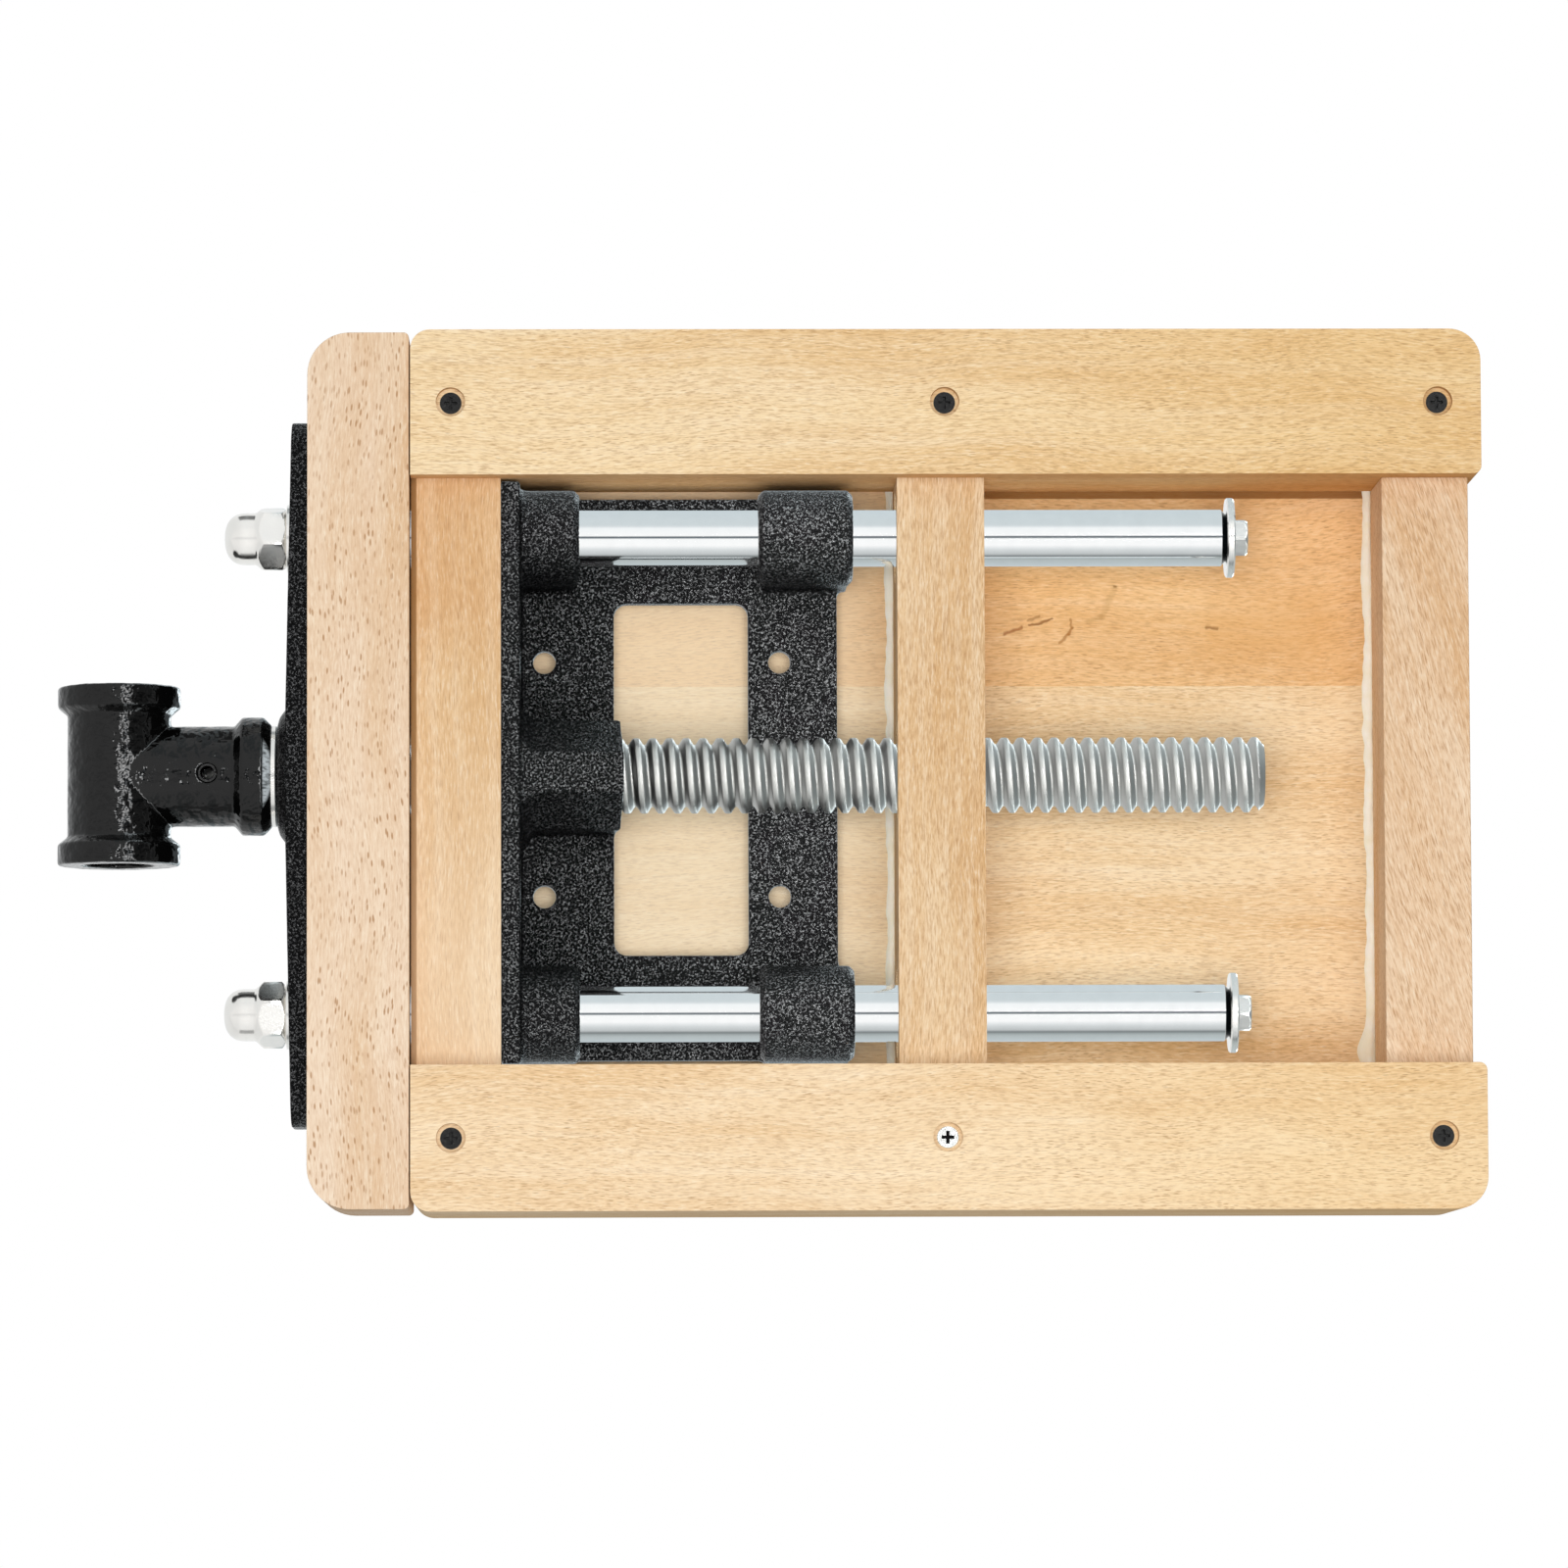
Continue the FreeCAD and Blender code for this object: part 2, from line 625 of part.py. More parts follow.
def front_plate():
    """A bar that tapers in height and thickness from its hub to its ends, back face at x = 0."""
    body = new_body("front_plate")
    place(body, x="plate_back", z="axis_height")
    padded(body, "bar", "XY_Plane",
           [("0", "-plate_length / 2"), ("0", "plate_length / 2"),
            ("-plate_end_thickness", "plate_length / 2"), ("-plate_middle_thickness", "0"),
            ("-plate_end_thickness", "-plate_length / 2")],
           "plate_middle_height", "-plate_middle_height / 2")
    for hand, side in SIDES:
        start, tip = "%d * plate_straight / 2" % side, "%d * plate_length / 2" % side
        for name, level in (("upper", 1), ("lower", -1)):
            middle = "%d * plate_middle_height / 2" % level
            end = "%d * plate_end_height / 2" % level
            pocketed(body, "%s_%s_taper" % (hand, name), "YZ_Plane",
                     [(start, middle), (tip, middle), (tip, end)],
                     "plate_middle_thickness", "-plate_middle_thickness")
    rounded(body, "end_corners", "plate_corner_radius",
            lambda edge: runs_along(edge, ALONG_X)
            and abs(abs(edge.CenterOfMass.y) - size("plate_length / 2")) < 0.01)
    base, face = "-plate_end_thickness", "-plate_middle_thickness - hub_height"
    turned(body, "hub", [(base, "0"), (base, "hub_base_diameter / 2"),
                         ("-plate_middle_thickness", "hub_base_diameter / 2"),
                         ("-plate_middle_thickness - hub_shoulder_height", "hub_shoulder_diameter / 2"),
                         (face, "hub_face_diameter / 2"), (face, "0")])
    round_cut(body, "shank_bore", "shank_bore", "plate_middle_thickness + hub_height", facing="-X")
    for hand, side in SIDES:
        middle = "%d * rod_offset" % side
        round_cut(body, hand + "_stud_hole", "stud_bore", "plate_middle_thickness", y=middle,
                  facing="-X")
        round_cut(body, hand + "_spot_face", "nut_washer_diameter + 2 * jaw_hole_clearance",
                  "plate_middle_thickness", "-rod_front_thickness", middle, facing="-X")
        for name in ("inner", "outer"):
            label = "%s_%s" % (hand, name)
            y = "%d * jaw_screw_%s" % (side, name)
            round_cut(body, label + "_hole", "screw_hole", "plate_middle_thickness", y=y,
                      facing="-X")
            cone_cut(body, label + "_countersink", "screw_head_hole", "screw_head_depth",
                     "-(%s)" % plate_front_at("jaw_screw_" + name), y)
    return body


def jaw_screws():
    """Screws through the plate into the jaw, each with its head flush in the sloping front."""
    spots = [(side, name) for name in ("outer", "inner") for side in ("-", "")]
    return grouped("jaw_screws", [
        wood_screw("jaw_screw_%d" % count, "short_screw_length",
                   "plate_back - (%s)" % plate_front_at("jaw_screw_" + name),
                   side + "jaw_screw_" + name, "axis_height", "+X")
        for count, (side, name) in enumerate(spots, 1)])


def guide_rod(label, side):
    """A ground bar with a stud turned on its front end and a tapped hole in its rear end."""
    body = new_body(label)
    place(body, "plate_back", "%d * rod_offset" % side, "axis_height")
    turned(body, "bar", [("-stud_length", "0"), ("-stud_length", "stud_diameter / 2"),
                         ("0", "stud_diameter / 2"), ("0", "rod_diameter / 2"),
                         ("rod_length - rod_chamfer", "rod_diameter / 2"),
                         ("rod_length", "rod_diameter / 2 - rod_chamfer"), ("rod_length", "0")])
    round_cut(body, "tapped_hole", "bolt_bore", "bolt_length", "rod_length", facing="-X")
    return body


def cap_nut(label, side, turn):
    """A domed nut, blind, on the rod's stud; turn is where its flats stopped when tightened."""
    body = new_body(label)
    place(body, "nut_face", "%d * rod_offset" % side, "axis_height", "-X")
    hexagon = body.newObject("PartDesign::AdditivePrism", "hexagon")
    hexagon.Polygon = 6
    bind(hexagon, Circumradius="nut_across_flats / 3 ^ 0.5", Height="nut_hex_height")
    about_z = FreeCAD.Rotation(FreeCAD.Vector(0, 0, 1), turn)
    hexagon.Placement = FreeCAD.Placement(FreeCAD.Vector(), about_z)
    barrel = body.newObject("PartDesign::AdditiveCylinder", "barrel")
    bind(barrel, Radius="nut_dome_diameter / 2", Height="nut_height - nut_dome_diameter / 2")
    dome = body.newObject("PartDesign::AdditiveSphere", "dome")
    bind(dome, Radius="nut_dome_diameter / 2")
    place(dome, z="nut_height - nut_dome_diameter / 2")
    round_cut(body, "thread", "stud_bore", "stud_length - rod_front_thickness", facing="+Z")
    return body


def hex_bolt(label, side):
    """The bolt that holds the stop washer on a rod's rear end."""
    body = new_body(label)
    place(body, "rod_end + end_washer_thickness", "%d * rod_offset" % side, "axis_height", "+X")
    head = body.newObject("PartDesign::AdditivePrism", "head")
    head.Polygon = 6
    bind(head, Circumradius="bolt_across_flats / 3 ^ 0.5", Height="bolt_head_height")
    shank = body.newObject("PartDesign::AdditiveCylinder", "shank")
    bind(shank, Radius="bolt_diameter / 2", Height="bolt_length")
    place(shank, z="thread_clearance - bolt_length")
    return body


def washer(label, x, y, diameter, bore, thickness):
    """A flat ring with its rear face at x."""
    body = new_body(label)
    place(body, x, y, "axis_height")
    turned(body, "ring", [("-" + thickness, bore + " / 2"), ("-" + thickness, diameter + " / 2"),
                          ("0", diameter + " / 2"), ("0", bore + " / 2")])
    return body


def pair(label, maker):
    """Left and right copies of a fastener as one node."""
    return grouped(label, [maker("left_" + label, 1), maker("right_" + label, -1)])


def lead_screw():
    """The shank through the plate into the tee, and the threaded length at its crest diameter."""
    body = new_body("lead_screw")
    place(body, "thread_start", z="axis_height")
    root, crest = "lead_root / 2", "lead_diameter / 2"
    taper = "(lead_diameter - lead_root) / 2"
    front, rear = "socket_end - thread_start", "lead_thread_length"
    turned(body, "bar", [(front, "0"), (front, "shank_diameter / 2"), ("0", "shank_diameter / 2"),
                         ("0", root), (taper, crest), (rear + " - " + taper, crest), (rear, root),
                         (rear, "0")])
    for name, diameter, x in (("tee", "tee_pin_diameter", "branch_face - tee_pin_setback"),
                              ("collar", "collar_pin_diameter", "collar_front + collar_length / 2")):
        round_cut(body, name + "_pin_hole", diameter + " + 2 * thread_clearance",
                  "shank_diameter", x + " - thread_start", z="-shank_diameter / 2", facing="+Z")
    return body


def retaining_collar():
    body = new_body("retaining_collar")
    place(body, "collar_front", z="axis_height")
    turned(body, "ring", [("0", "shank_bore / 2"), ("0", "collar_diameter / 2"),
                          ("collar_length", "collar_diameter / 2"), ("collar_length", "shank_bore / 2")])
    round_cut(body, "pin_hole", "collar_pin_diameter + 2 * thread_clearance", "collar_diameter",
              "collar_length / 2", z="-collar_diameter / 2", facing="+Z")
    return body


def collar_pin():
    pin = document.addObject("Part::Cylinder", "collar_pin")
    pin.Label = "collar_pin"
    bind(pin, Radius="collar_pin_diameter / 2", Height="collar_diameter - 1")
    return place(pin, "collar_front + collar_length / 2", "0",
                 "axis_height - (collar_diameter - 1) / 2")


def tee_pin():
    """A rolled spring pin through the tee's branch and the shank, split along its rear side."""
    body = new_body("tee_pin")
    place(body, "branch_face - tee_pin_setback", z="axis_height - branch_diameter / 2")
    tube = body.newObject("PartDesign::AdditiveCylinder", "tube")
    bind(tube, Radius="tee_pin_diameter / 2", Height="branch_diameter")
    round_cut(body, "hollow", "tee_pin_diameter - 2 * tee_pin_wall", "branch_diameter", facing="+Z")
    split = body.newObject("PartDesign::SubtractiveBox", "split")
    bind(split, Length="tee_pin_diameter", Width="tee_pin_wall", Height="branch_diameter")
    place(split, "0", "-tee_pin_wall / 2")
    return body


def handle_tee():
    """A pipe tee: its run takes the handle bar, its branch is pinned on the screw's shank."""
    body = new_body("handle_tee")
    place(body, "tee_axis", z="axis_height")
    tee_run(body)
    tee_branch(body)
    band_rims = [size("tee_band_diameter / 2"), size("branch_band_diameter / 2")]
    rounded(body, "rim_rounds", "tee_edge_round",
            lambda edge: edge.Curve.TypeId == "Part::GeomCircle"
            and any(abs(edge.Curve.Radius - rim) < 0.01 for rim in band_rims))
    round_cut(body, "run_bore", "handle_bore", "tee_length", y="-tee_length / 2", facing="+Y")
    round_cut(body, "socket", "shank_bore", "socket_depth", "tee_reach", facing="-X")
    round_cut(body, "pin_hole", "tee_pin_diameter + 2 * thread_clearance", "branch_band_diameter",
              "tee_reach - tee_pin_setback", z="-branch_band_diameter / 2", facing="+Z")
    return body


def tee_run(body):
    """The run, turned about Y, with a raised band at each mouth."""
    half, neck = "tee_length / 2", "tee_length / 2 - tee_band_width"
    foot = neck + " - tee_band_fillet"
    band, pipe = "tee_band_diameter / 2", "tee_diameter / 2"
    upper = [(band, half), (band, neck), (pipe, foot)]
    lower = [(radius, "-(%s)" % along) for radius, along in reversed(upper)]
    turned(body, "run", [("0", half)] + upper + lower + [("0", "-(%s)" % half)], "V_Axis")


def tee_branch(body):
    """The branch, turned about X, with a band that is chamfered at its mouth."""
    end, neck = "tee_reach", "tee_reach - branch_band_width"
    foot = neck + " - tee_band_fillet"
    band, pipe = "branch_band_diameter / 2", "branch_diameter / 2"
    turned(body, "branch", [("0", "0"), ("0", pipe), (foot, pipe), (neck, band),
                            (end + " - branch_chamfer", band), (end, band + " - branch_chamfer"),
                            (end, "0")])


def cap_nut_washer(label, side):
    return washer(label, "nut_seat", "%d * rod_offset" % side, "nut_washer_diameter", "stud_bore",
                  "nut_washer_thickness")


def rod_end_washer(label, side):
    return washer(label, "rod_end + end_washer_thickness", "%d * rod_offset" % side,
                  "end_washer_diameter", "bolt_bore", "end_washer_thickness")


def build():
    """Every sub-part, in the order in which the vise goes together."""
    return [
        top_board(),
        side_rail("left_rail", 1),
        side_rail("right_rail", -1),
        front_cross_rail(),
        middle_brace(),
        cross_member("rear_cross_rail", "rear_rail_front", "rear_rail_thickness"),
        rail_screws(),
        rail_screw("bright_rail_screw", 1, 1),
        rear_bracket(),
        short_screws("bracket_screws", "flange_front + flange_thickness", "flange_screw_inner",
                     "flange_screw_outer", "-X"),
        moving_jaw(),
        front_plate(),
        jaw_screws(),
        guide_rod("left_guide_rod", 1),
        guide_rod("right_guide_rod", -1),
        pair("cap_nut_washers", cap_nut_washer),
        grouped("cap_nuts", [cap_nut("left_cap_nut", 1, 0), cap_nut("right_cap_nut", -1, 17)]),
        pair("rod_end_washers", rod_end_washer),
        pair("rod_end_bolts", hex_bolt),
        lead_screw(),
        retaining_collar(),
        collar_pin(),
        washer("thrust_washer", "washer_face", "0", "thrust_washer_diameter", "shank_bore",
               "thrust_washer_thickness"),
        handle_tee(),
        tee_pin(),
    ]


def check(nodes):
    """Stop on a failed object or an unusable shape."""
    failed = [thing.Label for thing in document.Objects
              if "Invalid" in thing.State or "Error" in thing.State]
    if failed:
        raise RuntimeError("failed objects: " + ", ".join(failed))
    for node in nodes:
        if node.Shape.isNull() or not node.Shape.isValid() or not node.Shape.Solids:
            raise RuntimeError("unusable shape: " + node.Label)


fill_sheet()
nodes = build()
document.recompute()
check(nodes)
os.makedirs("parts", exist_ok=True)
for node in nodes:
    node.Shape.exportStep(os.path.join("parts", node.Label + ".step"))
    box = node.Shape.BoundBox
    print("%-18s %2d solids %10.1f mm3  x %7.1f %7.1f  y %7.1f %7.1f  z %6.1f %6.1f" % (
        node.Label, len(node.Shape.Solids), node.Shape.Volume,
        box.XMin, box.XMax, box.YMin, box.YMax, box.ZMin, box.ZMax))
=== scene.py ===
import json
import math

import bmesh
import bpy
import numpy as np
from bpy.props import FloatProperty, FloatVectorProperty, IntProperty, PointerProperty
from mathutils import Matrix, Vector, noise


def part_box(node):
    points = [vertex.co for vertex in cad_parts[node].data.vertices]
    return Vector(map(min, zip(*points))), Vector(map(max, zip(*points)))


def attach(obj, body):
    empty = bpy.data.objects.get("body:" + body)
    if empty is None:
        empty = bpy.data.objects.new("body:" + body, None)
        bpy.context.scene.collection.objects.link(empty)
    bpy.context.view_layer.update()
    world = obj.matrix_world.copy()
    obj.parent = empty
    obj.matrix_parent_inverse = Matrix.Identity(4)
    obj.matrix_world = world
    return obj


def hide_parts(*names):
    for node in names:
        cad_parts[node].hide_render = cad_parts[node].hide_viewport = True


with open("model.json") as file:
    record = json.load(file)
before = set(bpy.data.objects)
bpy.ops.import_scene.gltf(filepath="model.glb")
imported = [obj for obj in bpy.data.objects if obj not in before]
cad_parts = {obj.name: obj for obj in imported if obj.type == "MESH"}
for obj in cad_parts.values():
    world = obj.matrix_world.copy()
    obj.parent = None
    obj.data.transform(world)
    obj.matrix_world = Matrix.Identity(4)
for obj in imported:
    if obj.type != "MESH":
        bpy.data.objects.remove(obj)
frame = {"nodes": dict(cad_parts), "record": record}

bl_info = {
    "name": "Bench-top woodworking vise",
    "version": (1, 0, 0),
    "blender": (4, 5, 0),
    "location": "3D View > Sidebar > Vise",
    "description": "Dresses the beech and iron bench-top vise and sets up its studio",
    "category": "Object",
}

# The row frame: +X runs along the screw away from the handle, +Z from the rails' undersides up to
# the board. The photograph looks at the underside, with the handle on the left.

MM = 0.001


# ---------------------------------------------------------------- settings

def linear(code):
    """An sRGB hex colour as linear red, green, blue and an alpha of 1."""
    parts = [int(code[i:i + 2], 16) / 255 for i in (1, 3, 5)]
    return (*(c / 12.92 if c <= 0.04045 else ((c + 0.055) / 1.055) ** 2.4 for c in parts), 1.0)


def colour(name, description, code):
    return FloatVectorProperty(name=name, description=description, subtype="COLOR", size=4,
                               min=0, max=1, default=linear(code))


def length(name, description, millimetres):
    return FloatProperty(name=name, description=description, unit="LENGTH", precision=5,
                         min=0, default=millimetres * MM)


class BeechSettings(bpy.types.PropertyGroup):
    rail: colour("Right rail", "Oiled beech of the right side rail", "#F3D8AC")
    left_rail: colour("Left rail", "Paler beech of the left side rail", "#F8E0BC")
    jaw: colour("Jaw", "Pinker steamed beech of the jaw", "#EED6BC")
    board: colour("Board", "Pale staves of the board", "#F6DAB0")
    stave: colour("Stave tint", "Tints the board's stave that has more heartwood", "#FAE9D4")
    cross: colour("Cross members", "Beech of the front rail and the brace", "#E8C9A0")
    rear: colour("Rear rail", "Beech of the rear cross rail", "#EDD0B0")
    fleck: colour("Flecks", "Short dark ray flecks", "#A97A4E")
    fleck_share: FloatProperty(name="Fleck size", description="Fleck radius as a share of spacing",
                               default=0.31, min=0, max=1)
    edge_round: length("Edge round", "Hand-sanded round along each wooden edge", 0.5)


class IronSettings(bpy.types.PropertyGroup):
    paint: colour("Wrinkle paint", "Black wrinkle paint on the castings", "#0A0A0B")
    # Painted highlight: the brighter grey painted on the wrinkles' tips.
    paint_highlight: colour("Wrinkle tips", "Worn, brighter tips of the paint's wrinkles", "#303032")
    gloss: colour("Gloss paint", "Thick gloss black on the pipe tee", "#060606")
    wrinkle: length("Wrinkle size", "Distance between the paint's wrinkles", 0.64)
    grain: length("Casting grain", "Size of the cells that the castings are melted from", 0.62)


class SteelSettings(bpy.types.PropertyGroup):
    rod: colour("Guide rods", "Ground and plated steel bar", "#FBFCFC")
    zinc: colour("Zinc plate", "Bright zinc on nuts, bolts and washers", "#F6F4F0")
    screw: colour("Lead screw", "Rolled and zinc plated thread", "#BFBFBB")
    black: colour("Blackened screws", "Black phosphate on the wood screws", "#0D0D0D")
    pitch: length("Thread pitch", "Advance of the lead screw for one turn", 6.35)
    thread_depth: length("Thread depth", "From crest to root", 2.5)
    turn_steps: IntProperty(name="Steps a turn", description="Facets in one turn of the thread",
                            default=60, min=12)


class GlueSettings(bpy.types.PropertyGroup):
    shade: colour("Glue", "Dried squeeze-out of white wood glue", "#FFFCF0")
    bead: length("Bead width", "Width of the bead on the board", 3.3)


class StageSettings(bpy.types.PropertyGroup):
    floor: colour("Floor", "Pale studio floor", "#F5F5F5")
    distance: FloatProperty(name="Camera distance", description="From the object to the lens",
                            unit="LENGTH", default=3.2, min=0.1)
    frame_width: FloatProperty(name="Frame width", description="What the image spans at the rails",
                               unit="LENGTH", default=0.5865, min=0.1)


class ViseSettings(bpy.types.PropertyGroup):
    beech: PointerProperty(type=BeechSettings, name="Beech", description="Wood colours and grain")
    iron: PointerProperty(type=IronSettings, name="Iron", description="Paint and casting surface")
    steel: PointerProperty(type=SteelSettings, name="Steel", description="Plated steel and thread")
    glue: PointerProperty(type=GlueSettings, name="Glue", description="Squeezed-out glue")
    stage: PointerProperty(type=StageSettings, name="Stage", description="Floor and camera")


# ---------------------------------------------------------------- material tools

def fill(tree, node, inputs):
    """Give a node's inputs their values, or link them to the outputs that feed them."""
    for socket, value in inputs.items():
        if isinstance(value, bpy.types.NodeSocket):
            tree.links.new(value, node.inputs[socket])
        else:
            node.inputs[socket].default_value = value


def add(tree, kind, *values, out=0, **settings):
    """Add a node with its settings and links, and return its output out.

    The values fill the inputs in order, or one dict names the inputs that it fills.
    """
    made = tree.nodes.new("ShaderNode" + kind)
    for name, value in settings.items():
        setattr(made, name, value)
    named = values and isinstance(values[0], dict)
    fill(tree, made, values[0] if named else dict(enumerate(values)))
    return made.outputs[out]


def new_material(name):
    """A new material, its tree and its surface shader."""
    material = bpy.data.materials.new(name)
    material.use_nodes = True
    return material, material.node_tree, material.node_tree.nodes["Principled BSDF"]


def axes(tree, kind="Object"):
    """The x, y and z of the object's coordinates, or of another kind."""
    return add(tree, "SeparateXYZ", add(tree, "TexCoord", out=kind)).node.outputs


def stretched(tree, place, scale, detail=2.0, roughness=0.5):
    """Noise with so many grains in a metre on each axis."""
    place = add(tree, "Mapping", {"Vector": place, "Scale": scale})
    return add(tree, "TexNoise", {"Vector": place, "Scale": 1.0, "Detail": detail,
                                  "Roughness": roughness})


def wandered(tree, place, scale, reach, detail):
    """Coordinates that wander by up to half of reach, in millimetres, scale times in a metre."""
    drift = add(tree, "TexNoise", {"Vector": place, "Scale": scale, "Detail": detail}, out="Color")
    reach = Vector(reach) * MM
    drift = add(tree, "VectorMath", drift, reach, -reach / 2, operation="MULTIPLY_ADD")
    return add(tree, "VectorMath", place, drift, operation="ADD")


def band(tree, value, low, high, soft, top=1.0):
    """top from low to high, falling to 0 over a soft edge on each side."""
    rise = add(tree, "MapRange", value, low - soft, low, 0.0, top)
    fall = add(tree, "MapRange", value, high, high + soft, 1.0, 0.0)
    return add(tree, "Math", rise, fall, operation="MULTIPLY")


def flecked(tree, grain, along, across, size):
    """Spindle-shaped marks, at most one in each cell of along by across millimetres."""
    scale = [1 / (each * MM) for each in (along, across, across)]
    cell = add(tree, "Mapping", {"Vector": grain, "Scale": scale})
    gap = add(tree, "TexVoronoi", {"Vector": cell, "Scale": 1.0})
    return add(tree, "MapRange", gap, size * 0.55, size, 1.0, 0.0)


def streak(tree, place, start, end, width):
    """1 along a short line on a flat board and 0 beside it; points and width in millimetres."""
    first, reach = (Vector(each).to_3d() * MM for each in (start, Vector(end) - Vector(start)))
    off = add(tree, "VectorMath", place, first, operation="SUBTRACT")
    share = add(tree, "VectorMath", off, reach / reach.length_squared, operation="DOT_PRODUCT",
                out="Value")
    share = add(tree, "Clamp", share)
    along = add(tree, "VectorMath", {0: reach, "Scale": share}, operation="SCALE")
    gap = add(tree, "VectorMath", off, along, operation="SUBTRACT")
    gap = add(tree, "VectorMath", gap, operation="LENGTH", out="Value")
    return add(tree, "MapRange", gap, width * 0.3 * MM, width * MM, 1.0, 0.0)


def layered(tree, surface, *layers, mode="MIX"):
    """Lay colours over a surface in turn, each where its mask is 1; MULTIPLY lays a tint."""
    for mask, over in layers:
        over = linear(over) if isinstance(over, str) else over
        surface = add(tree, "Mix", {0: mask, 6: surface, 7: over}, out=2, data_type="RGBA",
                      blend_type=mode)
    return surface


def painted_over(material, mask, code):
    """Lay a colour over a material's own where mask is 1."""
    tree = material.node_tree
    shader = tree.nodes["Principled BSDF"]
    own = shader.inputs["Base Color"].links[0].from_socket
    fill(tree, shader, {"Base Color": layered(tree, own, (mask, code))})
    return material


# ---------------------------------------------------------------- beech

# The healed scar and the small shakes in the board: both ends in millimetres, width, depth and
# colour. The first is a broad warm patch.
SCARS = (((176, -57), (208, -60), 17.0, 0.4, "#E0A966"),
         ((91.3, -56.4), (97.9, -58.6), 1.0, 0.75, "#A4683E"),
         ((101.1, -59.7), (109.5, -61.9), 0.75, 0.8, "#8A5A32"),
         ((100.4, -61.5), (104.8, -63.3), 0.7, 0.6, "#9A6B3C"),
         ((116.8, -62.2), (117.4, -58.5), 0.7, 0.65, "#A8713C"),
         ((117.4, -58.5), (115.6, -55.7), 0.8, 0.75, "#A8713C"),
         ((115.6, -55.7), (112.5, -52.9), 0.75, 0.7, "#A8713C"),
         ((123.3, -61.1), (128.8, -63.0), 1.5, 0.35, "#B98A52"),
         ((128.8, -63.0), (133.9, -74.2), 1.6, 0.3, "#B98A52"),
         ((133.8, -74.6), (134.2, -74.6), 0.8, 0.8, "#94683A"),
         ((168.7, -58.4), (173.2, -58.6), 0.8, 0.75, "#94683A"))


def board_faults(tree, surface):
    """The board's own marks, two staves and a healed scar, with painted light on its front end and
    painted shade along the right rail.
    """
    x, y, z = axes(tree)
    second_stave = add(tree, "MapRange", y, -0.0360, -0.0362)
    clean = layered(tree, surface, (second_stave, bpy.context.scene.vise.beech.stave),
                    mode="MULTIPLY")
    # Painted light: the board is painted paler toward its front end.
    painted_light_front = add(tree, "MapRange", x, 0.02, 0.07, 0.45, 0.0)
    surface = layered(tree, clean, (painted_light_front, "#FFF0D4"))
    # The marks' edges wander by a millimetre or two, in steps of 5 mm.
    place = wandered(tree, add(tree, "TexCoord", out="Object"), 220.0, (3, 3, 0), 2.0)
    place = add(tree, "VectorMath", place, (1, 1, 0), operation="MULTIPLY")
    for start, end, width, depth, code in SCARS:
        mask = add(tree, "Math", streak(tree, place, start, end, width), depth,
                   operation="MULTIPLY")
        surface = layered(tree, surface, (mask, code))
    # Painted shade: a dark brown band on the board along its joint with the right rail, behind the
    # brace.
    painted_shade_seam = add(tree, "Math", band(tree, y, -0.1112, -0.1084, 0.0004, 0.9),
               add(tree, "MapRange", x, 0.05, 0.056), operation="MULTIPLY")
    # The marks are only on the face that looks down, 60 mm up.
    down = add(tree, "MapRange", z, 0.0603, 0.0606, 1.0, 0.0)
    return layered(tree, clean, (down, layered(tree, surface, (painted_shade_seam, "#8F5F30"))))


def warm_end(tree, surface):
    """The front rail's right end, cut nearer the heart of the tree, and a paler left end."""
    x, y, _ = axes(tree)
    heart = add(tree, "MapRange", y, -0.035, -0.065, 0.0, 0.5)
    surface = layered(tree, surface, (heart, "#F4E0CC"), mode="MULTIPLY")
    # Painted shade: the chamfer beside the jaw is painted brown.
    chamfer = add(tree, "MapRange", x, -0.1328, -0.1325, 0.75, 0.0)
    pale = add(tree, "MapRange", y, -0.02, 0.07, 0.0, 0.3)
    return layered(tree, surface, (chamfer, "#A9814F"), (pale, "#FBE6CC"))


def amber_end(tree, surface):
    """Side rails that grow more yellow toward the rear."""
    rear = add(tree, "MapRange", axes(tree)[0], 0.02, 0.2)
    return layered(tree, surface, (rear, "#FBF4E5"), mode="MULTIPLY")


def painted_shade_sides(tree, surface):
    """Painted shade that makes the sides darker and browner than the underside, over the rails'
    yellowing toward the rear.
    """
    flat = add(tree, "Math", axes(tree, "Normal")[2], operation="ABSOLUTE")
    side = add(tree, "MapRange", flat, 0.3, 0.7, 1.0, 0.0)
    return layered(tree, amber_end(tree, surface), (side, "#EAD6C3"), mode="MULTIPLY")


